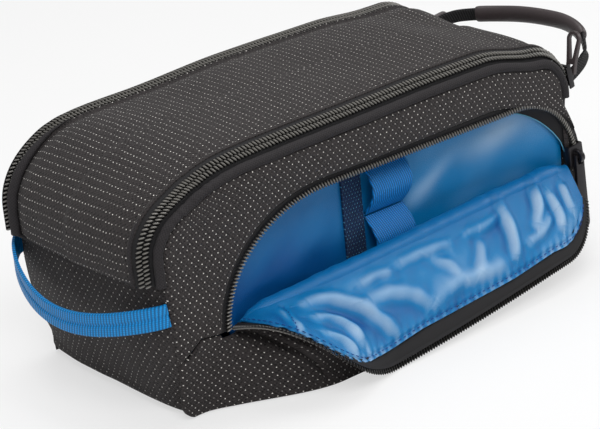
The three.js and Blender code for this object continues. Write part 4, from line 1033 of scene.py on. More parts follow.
def make_front(form):
    """The upper front panel: a band ruled from the rim to the pocket's arch.

    It puffs out by a product of sines and drift waves, and rolls down to its puckered seams.
    """
    z = form.z
    stop_angle, inset, kink_high = 25, 4.9, 5.5
    outer_edge = form.front_edge(z.arch_centre_z + z.arch_radius * math.sin(math.radians(stop_angle)))
    inner_edge = form.arch(stop_angle).offset(inset)
    u = linspace(0, 1, 330)
    seam = 0.12
    low, high = linspace(0, seam, 8), linspace(1 - seam, 1, 8)
    v = concatenate([low[:-1], linspace(seam, 1 - seam, 24), high[1:]])
    a = outer_edge.place(u * outer_edge.long)[0]
    b = inner_edge.place(u * inner_edge.long)[0]
    P = mix(a[:, None], b[:, None], v[None, :, None])
    span = norm(b - a, axis=1)[:, None]
    kink = kink_high * (1 - np.abs(2 * v - 1))[None] * (1 - smooth(u, 0, 0.12))[:, None]
    X, Z = P[..., 0], P[..., 1] + kink
    edge = minimum(v[None] * span, (1 - v[None]) * span)
    along = u[:, None] * outer_edge.long
    ends = minimum(along, outer_edge.long - along)
    puff = sin(pi * v)[None] * sin(pi * u)[:, None]
    puff = puff + smooth(edge, 1, 12) * (0.6 * drift(X, Z, 31, 70) + 0.3 * drift(X, Z, 32, 26))
    puff = puff - dip(edge, 3.5, 1.5) - dip(ends, 2.5, 1.2)
    pucker = (1 - smooth(edge, 3, 10)) * smooth(edge, 0.5, 3)
    puff = puff + 0.18 * pucker * drift(along, v[None] * 3, 33, 8)
    face = -form.face_y(Z)
    outer, uv = xyz(X, face - puff, Z), pair(X, Z)
    inner = xyz(X, minimum(face - puff, face) + z.fabric, Z)
    piece = shell("front_cloth", soften(outer), soften(inner), uv)
    dress(piece, "front", "bag", "front_panel", slot="cloth")


def low_front_grid(form, columns, rows):
    """The lower front between floor and seam, ruled from its low to its top edge."""
    z = form.z
    edge_gap, round_wide, round_high, round_reach = 0.7, 7.5, 8, 26
    left, right = form.left_foot + edge_gap, form.right_foot - edge_gap
    start = form.front_edge(z.bulge_z).points[0][0]
    stop = form.half + z.bulge - 1.2
    u, v = linspace(0, 1, columns), linspace(0, 1, rows)[None]
    x_top = mix(start, stop, u)
    X = mix(mix(left, right, u)[:, None], x_top[:, None], v)
    # The right corner is sewn a little higher, up to the upper panel
    top = (form.seam_z(x_top) + 2.0 * smooth(x_top, 113, 122))[:, None]
    Z = mix(z.gap, top, v)
    depth = form.low_front_y(X, Z, top)
    # The left edge rounds under at the floor, as the end panel does
    under = dip(Z, round_high, round_wide)
    X = X + under * (1 - smooth(X, left, left + round_reach))
    return X, Z, depth, broadcast_to(top, X.shape)


def make_low_front(form):
    """The slumped lower front, with a belly and a crease across it.

    The belly is a hill in x and height; the crease is a groove with a ridge above it, both hills of
    the distance from a line.
    """
    z = form.z
    X, Z, Y, top = low_front_grid(form, 260, 60)
    share = Z / top
    edge = minimum((1 - share) * top, 40)
    out = 0.9 * drift(X, Z, 41, 60) * smooth(share, 0, 0.3) * smooth(edge, 0, 8)
    out = out - dip(top - Z, 3.0, 1.4) - dip(X - X.min(), 3, 1.4)
    belly_high, belly_x, belly_wide, belly_z, belly_tall = 8.5, -52, 24, 22, 9
    out = out + belly_high * hill(X, belly_x, belly_wide) * hill(Z, belly_z, belly_tall)
    crease_x, crease_z = (-90, -76, -64, -57, -52), (35, 29, 20, 12, 2)
    across = (Z - interp(X, crease_x, crease_z)) * 0.75
    along = smooth(X, -92, -80) * (1 - smooth(X, -56, -50))
    out = out + along * (hill(across, 3.5, 2.5) - 2.4 * hill(across, 0, 1.5))
    outer = xyz(X, Y - out * smooth(Z, 0, 4), Z)
    piece = shell("low_front_cloth", outer, xyz(X, Y + z.fabric, Z), pair(X, Z * 1.15))
    dress(piece, "front", "bag", "lower_front_panel", slot="cloth")


def coons(left, top, right, floor, columns, rows):
    """A Coons patch: its four edges blended across and up, less the blended corners.

    The low edge is straight; a floor, if given, sets its height.
    """
    u, v = linspace(0, 1, columns), linspace(0, 1, rows)
    a, t, b = (track.place(share * track.long)[0] for track, share in ((left, v), (top, u), (right, v)))
    if floor is not None:
        a[0, 1] = b[0, 1] = floor
    low = mix(a[0], b[0], u[:, None])
    U, V = u[:, None, None], v[None, :, None]
    corners = (a[0] * (1 - U) + b[0] * U) * (1 - V) + (t[0] * (1 - U) + t[-1] * U) * V
    return mix(low[:, None], t[:, None], V) + mix(a[None], b[None], U) - corners, u, v


def face_patch(form, inset, floor, columns, rows):
    """The back face inside the rim, split in the middle of each upper corner."""
    lid, end, runs = form.lid_centre, form.end_centre, form.runs
    radius, end_radius = form.z.lid_radius, form.z.end_radius
    left = Track(runs["left_side"], runs["left_rise"], arc(lid, radius, 180, 135, 14))
    top = Track(arc(lid, radius, 135, 90, 14), runs["top"], arc(end, end_radius, 90, 45, 10))
    corner = arc(end, end_radius, 45, 0, 10)
    right = Track(corner, runs["right_drop"], runs["right_upper"], runs["right_lower"]).offset(-inset)
    right_up = Track(right.points[::-1])
    return coons(left.offset(-inset), top.offset(-inset), right_up, floor, columns, rows)


def make_back(form):
    """The back panel, puffed by a product of sines and drift waves."""
    z = form.z
    P, u, v = face_patch(form, form.face_inset, z.gap, 150, 70)
    X, Z = P[..., 0], P[..., 1]
    edge = minimum(minimum(u, 1 - u)[:, None] * z.long, (1 - v)[None] * z.high)
    puff = 1.2 * sin(pi * u)[:, None] * sin(pi * v)[None]
    puff = puff + smooth(edge, 1, 12) * (0.8 * drift(X, Z, 51, 80) + 0.35 * drift(X, Z, 52, 28))
    puff = puff - dip(edge, 3.5, 1.5)
    outer, inner = xyz(X, form.face_y(Z) + puff, Z), xyz(X, form.face_y(Z) - z.fabric, Z)
    piece = shell("back_cloth", soften(outer), soften(inner), pair(X, Z))
    dress(piece, "front", "bag", "back_panel", slot="cloth")


def make_bottom(form):
    """The flat bottom, between the lower front's foot and the back."""
    z = form.z
    thick, clear = 2.2, 0.5
    inset = z.base_radius + z.gap
    x = linspace(form.left_foot + inset, form.right_foot - inset, 90)
    front = form.low_front_y(x, thick, form.seam_z(x)) + z.fabric + clear
    Y = mix(front[:, None], z.face_base_y - z.fabric - z.gap, linspace(0, 1, 40)[None])
    X = broadcast_to(x[:, None], Y.shape)
    piece = shell("bottom_cloth", xyz(X, Y, 0), xyz(X, Y, thick), pair(X, Y))
    dress(piece, "end", "bag", "bottom_panel", slot="cloth")


def make_ends(form):
    """The left and right end panels along their tracks.

    Their upright edges are pulled round to the faces by the fourth power of the share across.
    """
    pull, thick, inner_share = 6, 2.0, 0.985
    for name, track, side, inset, node in (
        ("left_end_cloth", form.left_track, -1, 0.9, "left_end_panel"),
        ("right_end_cloth", form.right_track, 1, 1.6, "right_end_panel"),
    ):
        s, t = linspace(0, track.long, 110), linspace(-1, 1, 90)
        S, T = cross_grid(s, t)
        height = track.place(S)[0][..., 1]
        half = form.face_y(maximum(height, 0)) - inset
        Y = T * half
        edge = minimum((1 - np.abs(T)) * half, track.long)
        lift = smooth(edge, 1, 14) * (0.8 * drift(Y, S, 61 + side, 60) + 0.4 * drift(Y, S, 63 + side, 24))
        lift = lift - dip(track.long - S if side < 0 else S, 3.0, 1.5) - dip(edge, 3.0, 1.2)
        lift = lift * smooth(height, -2, 9)
        corner = xyz(-side * pull * np.abs(T) ** 4 * (0.45 + 0.55 * smooth(height, 0, 12)), 0, 0)
        outer = on_track(track, S, Y, lift) + corner
        inner = on_track(track, S, Y * inner_share, lift - thick) + corner
        dress(shell(name, outer, inner, pair(Y + 100, S)), "end", "bag", node, slot="cloth")


# Main zips and piping


def rim_frame(form, s, sign):
    """Places on a main zip's line, with the axes out across the bag and away from it."""
    s = np.asarray(s, float)
    point, normal = form.lid_track.place(s)
    places = xyz(point[:, 0], sign * form.z.zip_y, point[:, 1])
    outs = tile([0.0, sign, 0.0], (len(s), 1))
    return places, outs, xyz(normal[:, 0], 0, normal[:, 1])


def rolled(outs, rises, degrees):
    """Two axes turned: outs cos - rises sin, and rises cos + outs sin."""
    c, s = cos(radians(degrees))[:, None], sin(radians(degrees))[:, None]
    return outs * c - rises * s, rises * c + outs * s


def main_tape_profile(ridge):
    """A main zip's body tape: flat beside the coil, up its ridge and down outside."""
    top = array([(TAPE_START, 0.0), (3.1, 0.1), (3.2, ridge), (3.8, ridge - 0.4), (3.9, -2.6)])
    under = array([(3.3, -2.6), (3.1, -1.0), (2.6, -TAPE_THICK), (TAPE_START, -TAPE_THICK)])
    return concatenate([top, under])


def flat_tape_profile(reach):
    """Cross-section of a tape that lies flat, with a low ridge beside the coil."""
    top = array([(TAPE_START, 0.0), (3.1, 0.1), (3.6, 0.35), (4.1, 0.2), (reach, 0.0)])
    return concatenate([top, top[::-1] - (0.0, TAPE_THICK)])


def coil_row(name, places, outs, rises, slant, z, high, wide):
    """Half of a coil: slanted round-ended bars; their UV's second part is the height."""
    start, overlap, thick = -0.15, 0.3, 0.95
    template, quads = bar_template(start, overlap + z.coil, thick, wide, slant)
    uv = np.c_[template[:, 0], template[:, 1] / (2 * thick) + 0.5]
    template = template + (0, high, 0)
    return repeat(name, template, quads, places, outs, rises, tile(uv, (len(places), 1)))


def make_main_zip(form, name, sign):
    """A main zip: a coil and a tape on the body side, and the same on the lid side.

    The body side's tape goes on outside its ridge, as a web down to the piping.
    """
    z = form.z
    track = form.lid_track
    lid_stop, coil_high, coil_wide, slant, lid_reach = 5, 1.5, 0.58, -0.42, 7.0
    steps = arange(1.0, track.long - 0.8, z.pitch)
    for side, body, end, way in (
        ("body_side", "bag", track.long, 1), ("lid_side", "lid", track.long - lid_stop, -1),
    ):
        s = linspace(0.3, end - 0.2, 220)
        places, flat_outs, flat_rises = rim_frame(form, s, sign)
        places = soften(places)
        outs, rises = rolled(flat_outs, flat_rises, zip_roll(form, s, sign))
        if way > 0:
            ridge = 1.9 if sign > 0 else 0.0
            rings = ribbon(places, outs, rises, main_tape_profile(ridge))
            for spot, inside, rise in ((4, 0.8, -2.6), (5, 0.6, -3.9)):
                rings[:, spot] = places + (z.piping_out - inside) * flat_outs + rise * flat_rises
        else:
            rings = ribbon(places, outs * way, rises, flat_tape_profile(lid_reach))
        tape = tube(f"{name}_{side}_tape", rings)
        at = steps[steps < end - 1]
        places, outs, rises = rim_frame(form, at, sign)
        outs, rises = rolled(outs, rises, zip_roll(form, at, sign))
        bars = soften(places), outs * way, rises
        row = coil_row(f"{name}_{side}_coil", *bars, slant, z, coil_high, coil_wide)
        dress(row, "coil", body, slot="zip")
        dress(tape, "trim", body, f"{name}_zip_{side}", slot="zip")


def make_piping(form, name, sign):
    """A cord of piping below a zip: its radius waves and it crinkles round the left curve."""
    z = form.z
    radius, sway_wide = 2.2, 0.35
    s = linspace(0.3, form.lid_track.long - 0.2, 420)
    places, outs, rises = rim_frame(form, s, sign)
    turn = around(18)
    curve = (1 - smooth(s, 60, 90))[:, None]
    S, T = cross_grid(s, turn)
    slow, quick = drift(s, 0 * s, 21, 14), drift(s, 0 * s, 22, 4)
    size = radius * (1 + 0.06 * slow + 0.03 * quick)[:, None]
    crinkle = 0.11 * drift(S, 2 * cos(T), 23, 5) + 0.05 * drift(S, 2 * sin(T), 26, 2.4)
    size = size * (1 + curve * crinkle)
    sway = sway_wide * drift(s, 0 * s, 24 + int(sign), 24)[:, None]
    out = z.piping_out + sway + size * cos(turn)
    rise = -z.piping_down + sway + size * sin(turn)
    rings = swept(soften(places), outs, rises, out, rise)
    dress(tube(f"{name}_piping_cloth", rings), "piping", "bag", f"{name}_piping", slot="piping")


def make_lid_roll(form, name, sign, long, wide, high):
    """The gathered hem on the lid's edge in its left curve: a tube that thins out."""
    inside, flat = -4.7, 1.25
    s = linspace(0.6, long, 150)
    places, outs, rises = rim_frame(form, s, sign)
    turn = around(16)
    S, T = cross_grid(s, turn)
    size = (wide * (1 - smooth(s, 0.35 * long, long)) ** 0.8 + 0.15)[:, None]
    size = size * (1 + 0.1 * drift(S, 2 * cos(T), 27, 6) + 0.05 * drift(S, T, 28, 2.5))
    out = inside - 0.6 * wide + size * cos(turn) * flat
    rise = high + 0.5 * wide + size * sin(turn)
    rings = swept(soften(places), outs, rises, out, rise)
    dress(tube(f"{name}_lid_roll", rings), "piping", "lid", slot="piping")


def make_lid_seam_shadow(form):
    """A dark cord in the fold where the lid's low end meets the left end panel, laid as painted shadow of
    that fold.
    """
    end_gap, lift, wide, high = 5.2, 1.5, 1.1, 0.9
    half = form.z.zip_y - end_gap
    y = linspace(-half, half, 80)
    point, normal = form.lid_track.place(np.zeros(len(y)), lift + 0 * y)
    places = soften(xyz(point[:, 0], y, point[:, 1]))
    outs, rises = xyz(normal[:, 0], 0 * y, normal[:, 1]), tile([0.0, 0.0, 1.0], (len(y), 1))
    oval = np.c_[wide * cos(around(10)), high * sin(around(10))]
    # Painted shadow: a dark cord standing in for the seam's shade
    dress(tube("lid_seam_shadow_cord", ribbon(places, outs, rises, oval)), "trim", "bag", slot="trim")


# Linings and what is inside


def make_linings(form):
    """The main lining: back, front, both ends and the floor."""
    z = form.z
    low, side_room, wave = 3.6, 8.9, 0.25
    middle = (form.left_foot + form.right_foot) / 2
    P, _, _ = face_patch(form, form.lining_inset, low, 90, 50)
    X, Z = middle + (P[..., 0] - middle) * (1 - side_room / form.half), P[..., 1]
    for name, depth, sign, node, seed in (
        ("back_lining_cloth", form.back_wall(Z), -1, "back_lining", 71),
        ("front_lining_cloth", -form.divider_wall(Z), 1, "front_lining", 73),
    ):
        outer = xyz(X, depth + wave * drift(X, Z, seed, 24), Z)
        inner = outer + (0, sign * z.lining, 0)
        dress(shell(name, outer, inner, pair(X, Z)), "lining", "bag", node, slot="lining")
    for name, track, node, low, high, inset in (
        ("left_lining_cloth", form.track("left_side"), "left_lining", 0.18, 0.99, 3.5),
        ("right_lining_cloth", form.track("right_upper", "right_lower"), "right_lining", 0.01, 0.82, 6.8),
    ):
        s, t = linspace(low * track.long, high * track.long, 50), linspace(-1, 1, 50)
        S, T = cross_grid(s, t)
        Y = T * (form.face_y(track.place(S)[0][..., 1]) - inset)
        lift = -6 * np.abs(T) ** 4 - 3.0 + 0.2 * drift(S, Y, 75, 22)
        outer, inner = on_track(track, S, Y, lift), on_track(track, S, Y, lift - z.lining)
        dress(shell(name, outer, inner, pair(S, Y)), "lining", "bag", node, slot="lining")
    end_room, edge_room, bottom = 8.4, 1.1, 2.75
    x = linspace(form.left_foot + end_room, form.right_foot - end_room, 60)
    y = linspace(edge_room - form.divider(), z.face_base_y - z.fabric - z.lining - edge_room, 40)
    X, Y = cross_grid(x, y)
    low = bottom + 0.15 * drift(X, Y, 77, 30)
    piece = shell("floor_lining_cloth", xyz(X, Y, low + z.lining), xyz(X, Y, low), pair(X, Y))
    dress(piece, "lining", "bag", "floor_lining", slot="lining")


def pocket_depth(form, share):
    """The pocket's room at a share of its length: 1 - |2 share - 1|^4."""
    least = 1 / form.z.pocket_deep
    return maximum(1 - np.abs(2 * share - 1) ** 4, least) * form.z.pocket_deep


def pocket_section(form, x, share, v):
    """The pocket's lining at one place: down its back, over its floor, up its front."""
    z = form.z
    wall, floor, knots_z = -form.pocket_wall(), 20, (63, 45, 26)
    back = wall + float(pocket_depth(form, share))
    top = float(form.fold_z(x)) - 2.2
    front_top = top - z.gap
    front = lambda h: float(form.low_front_y(x, h, top)) + z.fabric + z.lining + 4 * z.gap
    low, high = mix(floor, front_top, 0.3), mix(floor, front_top, 0.65)
    knots = array([
        (wall, 89), (mix(wall, back, 0.7), 86.2), (back, 80.8), *((back, height) for height in knots_z),
        (mix(back, front(floor), 0.3), floor), (mix(back, front(floor), 0.75), floor),
        (front(low), low), (front(high), high), (front(front_top), front_top),
    ])
    steps = lengths_along(knots)
    at = v * steps[-1]
    line = stack([interp(at, steps, knots[:, k]) for k in (0, 1)], -1)
    kernel = array([1, 2, 3, 2, 1.0]) / 9
    soft = line.copy()
    for k in (0, 1):
        soft[2:-2, k] = np.convolve(line[:, k], kernel, "valid")
    return soft, at


def pocket_ends(form):
    """Left and right ends of the pocket's lining, along the bag."""
    return form.z.arch_left + 2.5, form.z.fold_end + 1.2


def make_pocket(form):
    """The pocket's lining: its sections set side by side, with waves that leave the loops clear.

    Its shine, which is painted light, is low in the pocket's depth as painted shade, darker at its left end
    as painted shadow, with two slanted patches of painted highlight.
    """
    z = form.z
    left, right = pocket_ends(form)
    u, v = linspace(0, 1, 170), linspace(0, 1, 110)
    sections = [pocket_section(form, mix(left, right, share), share, v) for share in u]
    rows, lengths = (array([section[k] for section in sections]) for k in (0, 1))
    X = broadcast_to(mix(left, right, u)[:, None], lengths.shape)
    grid = xyz(X, rows[..., 0], rows[..., 1])
    wave = 0.9 + 1.5 * drift(X, lengths, 81, 46) + 0.5 * drift(X, lengths, 82, 19)
    fade = smooth(minimum(u, 1 - u), 0, 0.12)[:, None]
    fade = fade * (smooth(v, 0.02, 0.14) * (1 - smooth(v, 0.5, 0.62)))[None]
    loops_x, loops_wide = 7, 27
    fade = fade * (1 - np.exp(-(((X - loops_x) / loops_wide) ** 8)))
    grid[..., 1] -= maximum(wave, -0.2) * fade
    normal = normals_of(grid)
    behind = np.sign(normal[80, 50, 1])
    height = grid[..., 2]
    # Painted highlight: two slanted patches on the pocket's back wall
    painted_highlight = 0
    for share, x, wide, middle, slant, tall in ((1, 88, 17, 70, 0.25, 7), (0.8, 42, 12, 58, 0.5, 5)):
        painted_highlight = painted_highlight + share * hill(X, x, wide) * hill(height - slant * (X - x), middle, tall)
    # Painted light, darker towards the left as painted shade
    shine = 0.2 + 0.22 * smooth(X, -60, 60) + 0.4 * painted_highlight + 0.08 * drift(X, height, 84, 26)
    # Painted shadow, low at the pocket's left end
    shine = shine - 0.25 * (1 - smooth(height, 38, 66)) * (1 - smooth(X, -50, 60))
    back = grid + behind * normal * z.lining
    piece = shell("pocket_lining_cloth", grid, back, pair(X, lengths))
    dress(give_shine(piece, shine), "satin", "bag", "pocket_lining", slot="lining")


def make_pocket_binding(form):
    """The dark binding inside the opening's right end, and the pale bead on it."""
    z = form.z
    long, wide, least, overlap, thick, bead_size = 70, 4.6, 0.9, -0.6, 0.5, 0.28
    left, right = pocket_ends(form)
    track = form.arch(2)
    s = linspace(track.long - long, track.long, 90)
    width = wide * sin(pi * clip((s - s[0]) / (1.2 * long), 0, 1)) ** 1.1 + least
    across = linspace(0, 1, 12)
    far = overlap + width[:, None] * across[None]
    point, _ = track.place(broadcast_to(s[:, None], far.shape), -far)
    deep = pocket_depth(form, clip((point[..., 0] - left) / (right - left), 0, 1))
    depth = mix(-z.face_y + z.fabric + 1.2, deep - form.pocket_wall() - 2.2, across[None] ** 0.7)
    outer = xyz(point[..., 0], depth, point[..., 1])
    piece = shell("pocket_binding", outer, outer + (0, thick, 0), pair(s[:, None], far))
    dress(piece, "trim", "bag", slot="trim")
    bead = bead_size * (1 - 0.7 * smooth(np.abs(s - s.mean()), 25, 39))[:, None]
    normal = track.place(s)[1]
    outs, rises = xyz(normal[:, 0], 0 * s, normal[:, 1]), tile([0.0, -1.0, 0.0], (len(s), 1))
    places = outer[:, -1] - (0, thick / 2, 0)
    rings = swept(places, outs, rises, bead * cos(around(8)), bead * sin(around(8)))
    dress(tube("pocket_binding_edge", rings), "edging", "bag", slot="trim")


def make_elastic(form):
    """The loops' ribbed backing strip, and two loops that stand off it by a half sine."""
    z = form.z
    wall = z.pocket_deep - form.pocket_wall() - z.gap
    left, right, low, high, thick, rib, rib_pitch = -9.5, 2, 30, 80, 1.1, 0.12, 2.0
    X, Z = cross_grid(linspace(left, right, 24), linspace(low, high, 60))
    outer = xyz(X, wall - thick - rib * cos(Z * TURN / rib_pitch), Z)
    piece = shell("elastic_strip_cloth", outer, xyz(X, wall, Z), pair(X, Z))
    dress(piece, "navy", "bag", "elastic_backing_strip", slot="navy_elastic")
    stand, half, loop_thick, stretch = 7.5, 12, 1.2, 1.3
    for name, low, high in (("upper_elastic_loop", 55.7, 80), ("lower_elastic_loop", 30, 53.3)):
        share = linspace(0, 1, 90)
        width = linspace(-half, half, 40)
        slope = stand * pi * cos(pi * share) / (high - low)
        rise = unit(xyz(0, -1, -slope))[:, None]
        base = xyz(z.loop_x, wall - stand * sin(pi * share), mix(low, high, share))
        inner = base[:, None] + xyz(width, 0, 0)[None]
        roll = dip(half - np.abs(width), 0.8, 0.4)
        outer = inner + rise * (loop_thick - roll)[None, :, None]
        along = share * (high - low) * stretch
        uv = stack(np.broadcast_arrays(width[None] + 20, along[:, None]), -1)
        dress(shell(f"{name}_cloth", outer, inner, uv), "elastic", "bag", name, slot="elastic")


def make_mesh_pocket(form):
    """The net pocket on the back wall: crossed threads that bow out, and its binding."""
    z = form.z
    half, low, high, step, bow_deep, thread = 88, 12, 72, 2.5, 9, 0.25
    binding_low, binding_high, binding_thick, thread_in = 72.3, 78.3, 1.6, 0.4

    def depth(x, h, lift):
        """The back lining less a bow, sqrt(1 - (x/half)^4) times a sine of height."""
        rise = sin(pi / 2 * clip((h - low) / (high - low), 0, 1))
        bow = bow_deep * sqrt(maximum(1 - (x / half) ** 4, 0)) * rise
        return form.back_wall(h) - z.lining - z.gap - bow - lift

    box = array([(-1, -1), (1, -1), (1, 1), (-1, 1)]) * thread
    sides, heights = arange(0.5 - half, half, step), arange(low + 1, high, step)
    upright = [(x + np.zeros(40), linspace(low, high, 40), [1.0, 0, 0]) for x in sides]
    level = [(linspace(-half, half, 60), h + np.zeros(60), [0, 0, 1.0]) for h in heights]
    threads = []
    for x, h, across in upright + level:
        outs, rises = tile(across, (len(x), 1)), tile([0, -1.0, 0], (len(x), 1))
        rings = ribbon(xyz(x, depth(x, h, thread_in), h), outs, rises, box)
        threads.append(tube("thread", rings, smooth_angle=180))
    dress(join("mesh_pocket_net", threads), "trim", "bag", "mesh_pocket", slot="mesh")
    x, h = linspace(-half, half, 120), linspace(binding_low, binding_high, 12)
    X, H = cross_grid(x, h)
    outer, inner = xyz(X, depth(X, H, binding_thick), H), xyz(X, depth(X, H, 0.0), H)
    piece = shell("mesh_pocket_edge", outer, inner, pair(X, H))
    dress(piece, "webbing", "bag", "mesh_pocket_binding", slot="webbing")


# Pocket zip and flap


def make_pocket_zip(form):
    """The pocket's zip: its body side along the arch, its flap side swung open."""
    z = form.z
    for side, body, end, sign, reach, inside, high in (
        ("body_side", "bag", BODY_ZIP_END, 1, 5.6, 0.0, 1.2),
        ("flap_side", None, FLAP_ZIP_END, -1, 6.5, 2.2, 0.3),
    ):
        slant, coil_wide, pitch_share = -0.3, 0.5, 0.84
        track = form.arch(end)
        frames = []
        bars = arange(1.0, track.long - 0.8, pitch_share * z.pitch)
        for s in (linspace(0.2, track.long - 0.2, 220), bars):
            point, normal = track.place(s)
            places = xyz(point[:, 0], -form.tape_y, point[:, 1])
            outs = xyz(normal[:, 0] * sign, 0, normal[:, 1] * sign)
            frames.append((places, outs, tile([0.0, -1.0, 0.0], (len(s), 1))))
        tape = tube(f"pocket_{side}_tape", ribbon(*frames[0], flat_tape_profile(reach) + (inside, 0)))
        coil = coil_row(f"pocket_{side}_coil", *frames[1], slant, z, high, coil_wide)
        if sign < 0:
            for piece in (tape, coil):
                bend_flap(open_flap(form, piece))
        dress(tape, "trim", body, f"pocket_zip_{side}", slot="zip")
        dress(coil, "coil", body, slot="zip")


def flap_angle(x):
    """How far the flap lies open along its fold: a soft step and a last straight rise."""
    extra, start, run = 8, 80, 40
    return FLAP_OPEN * smooth(x, *FLAP_BLEND) + extra * clip((x - start) / run, 0, 1)


def bend_flap(piece):
    """Bakes a piece's transform into its mesh."""
    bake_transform(piece)
    return piece


def flap_swell(form, x):
    """How much longer the worn flap hangs than its opening, most in the middle."""
    most = 0.085
    return most * sin(pi * clip((x - form.z.arch_left) / form.fold_long, 0, 1)) ** 0.7


def flap_open(form, points):
    """Points drawn with the flap shut, turned about the fold."""
    z = form.z
    start = array([z.arch_left, -z.fold_y, z.arch_z])
    axis = unit(array([form.fold_long, 0, z.fold_rise]))
    along = ((points - start) @ axis)[..., None]
    across = points - start - along * axis
    x = z.arch_left + along * axis[0]
    turn = radians(flap_angle(x))
    across = across * (1 + flap_swell(form, x))
    return start + along * axis + across * cos(turn) + np.cross(axis, across) * sin(turn)


def open_flap(form, piece):
    """Swings a mesh drawn with the flap shut into the open place."""
    mesh = piece.data
    flat = np.empty(len(mesh.vertices) * 3, np.float32)
    mesh.vertices.foreach_get("co", flat)
    turned = flap_open(form, flat.reshape(-1, 3).astype(float) / MM) * MM
    mesh.vertices.foreach_set("co", turned.astype(np.float32).ravel())
    mesh.update()
    return piece


def make_flap(form):
    """The flap's panel: a Coons patch from its fold to its zip, swung open."""
    z = form.z
    start, stop_reach, puff_most = 1.0, 4.7, 0.4
    left_curve, right_curve = form.arch_curves()
    left = Track(arc(*left_curve, 180, 135, 16)).offset(-FLAP_INSET).points
    foot = z.arch_left + FLAP_INSET
    left[0] = (foot, form.fold_z(foot) + start)
    top = Track(arc(*left_curve, 135, 90, 16), form.arch_run(), arc(*right_curve, 90, 50, 16))
    right = Track(arc(*right_curve, 50, FLAP_ZIP_END, 16)).offset(-FLAP_INSET).points
    stop = z.fold_end - FLAP_INSET + stop_reach
    corner = [(stop, right[-1, 1]), (stop, form.fold_z(stop) + start)]
    right = concatenate([right, corner])[::-1]
    grid, u, v = coons(Track(left), top.offset(-FLAP_INSET), Track(right), None, 200, 40)
    X, Z = grid[..., 0], grid[..., 1]
    edge = minimum(minimum(u, 1 - u)[:, None] * 200, (1 - v)[None] * 40)
    puff = 0.5 * drift(X, Z, 91, 60) * smooth(edge, 0, 10) - dip(edge, 3, 1.2)
    outer, inner = xyz(X, -z.face_y - minimum(puff, puff_most), Z), xyz(X, z.fabric - z.face_y, Z)
    piece = shell("flap_cloth", outer, inner, pair(X, Z))
    bend_flap(open_flap(form, piece))
    dress(piece, "front", None, "flap_panel", slot="cloth")


def facing_width(share):
    """How far the flap's satin stops short of the zip, by share of its length."""
    return interp(share, FACING_SHARES, FACING_WIDTHS)


def rounded(line):
    """A line of points with its corners cut twice, at a quarter of each step."""
    for _ in range(2):
        a, b = line[:-1], line[1:]
        cut = stack([mix(a, b, 0.25), mix(a, b, 0.75)], 1).reshape(-1, 2)
        line = concatenate([line[:1], cut, line[-1:]])
    return line


def satin_folds(x, far):
    """Folds of the satin: each is a ridge with a hollow on one side of its line.

    Its height is a hill of the distance from the line, and its ends fade by a sine.
    """
    hollow_share, hollow_out, end_share = 0.45, 1.5, 0.12
    total = 0 * x
    for line, high, wide in SATIN_FOLDS:
        line = rounded(array(line, float))
        start, step = line[:-1], np.diff(line, axis=0)
        dx, dy = x[..., None] - start[:, 0], far[..., None] - start[:, 1]
        along = clip((dx * step[:, 0] + dy * step[:, 1]) / (step**2).sum(1), 0, 1)
        dx, dy = dx - along * step[:, 0], dy - along * step[:, 1]
        away = np.hypot(dx, dy)
        near = away.argmin(-1)[..., None]
        side = dy * step[:, 0] - dx * step[:, 1]
        away, along, side = (
            np.take_along_axis(each, near, -1)[..., 0] for each in (away, along, side)
        )
        away = away * np.sign(side)
        share = (near[..., 0] + along) / len(step)
        body = hill(away, 0, wide) - hollow_share * hill(away, hollow_out * wide, wide)
        total = total + high * body * sin(pi * mix(end_share, 1 - end_share, share))
    return total


# Rows of the satin's grid inside the pocket, round the fold and across the flap
WALL_ROWS, RIDGE_ROWS, FLAP_ROWS = 14, 26, 90


def satin_sheet(form):
    """The satin's plain grid, its distance from the fold, and its room to the hem and ends.

    Along the fold x runs by a cosine; across it the grid climbs the pocket's wall, follows an arc
    round the fold and lies on the flap.
    """
    z = form.z
    track = form.arch(FLAP_ZIP_END)
    s = linspace(0, track.long, 400)
    edge, _ = track.place(s, -facing_width(s / track.long))
    keep = np.r_[True, np.diff(np.maximum.accumulate(edge[:, 0])) > 1e-3]
    low, high = z.arch_left + 5.0, edge[-1, 0]
    wave = 1 - cos(pi * (0.06 + 0.9 * linspace(0, 1, 420)))
    x = mix(low, high, (wave - wave[0]) / (wave[-1] - wave[0]))
    reach = maximum(interp(x, edge[keep, 0], edge[keep, 1]) - form.fold_z(x), 1.5)
    reach = (reach * (1 + flap_swell(form, x)))[:, None]
    ends = minimum(x - low, high - x)[:, None]
    full = smooth(ends, 0, 16)
    angle = radians(flap_angle(x))[:, None]
    wall_high, ridge_half, outside, ridge_rise = 13, 4, 2.9, 1.3
    inside = mix(2.6, 4.7, full)
    t = linspace(0, 1, WALL_ROWS + 1)[None]
    climb = mix(-wall_high, 0, t) + 0 * inside
    wall = (-inside + 0 * t, climb, climb - ridge_half)
    t = linspace(0, 1, RIDGE_ROWS + 1)[1:][None]
    turn = mix(-pi / 2, angle - pi / 2, t)
    size = mix(inside, outside, t) + ridge_rise * full * sin(pi * t)
    ridge = (size * sin(turn), size * cos(turn), mix(-ridge_half, ridge_half, t) + 0 * size)
    t = linspace(0, 1, FLAP_ROWS + 1)[1:][None]
    far = reach * t
    flat = angle - pi / 2
    out = outside * sin(flat) + far * sin(angle)
    rise = outside * cos(flat) + far * cos(angle)
    parts = wall, ridge, (out, rise, far + ridge_half)
    out, rise, far = (concatenate([part[k] for part in parts], 1) for k in range(3))
    X = broadcast_to(x[:, None], out.shape)
    hem = clip(reach + ridge_half - far, 0, 50)
    return xyz(X, -z.fold_y - out, form.fold_z(X) + rise), far, hem, ends


def seam_hollow(x, far):
    """The satin's sewn seam: a hill of the distance from its straight line."""
    wide, start, stop = 1.4, (5, 9), (31, 34)
    way = unit(SATIN_SEAM[1] - SATIN_SEAM[0])
    beside = (x - SATIN_SEAM[0, 0]) * way[1] - (far - SATIN_SEAM[0, 1]) * way[0]
    return hill(beside, 0, wide) * smooth(far, *start) * (1 - smooth(far, *stop))


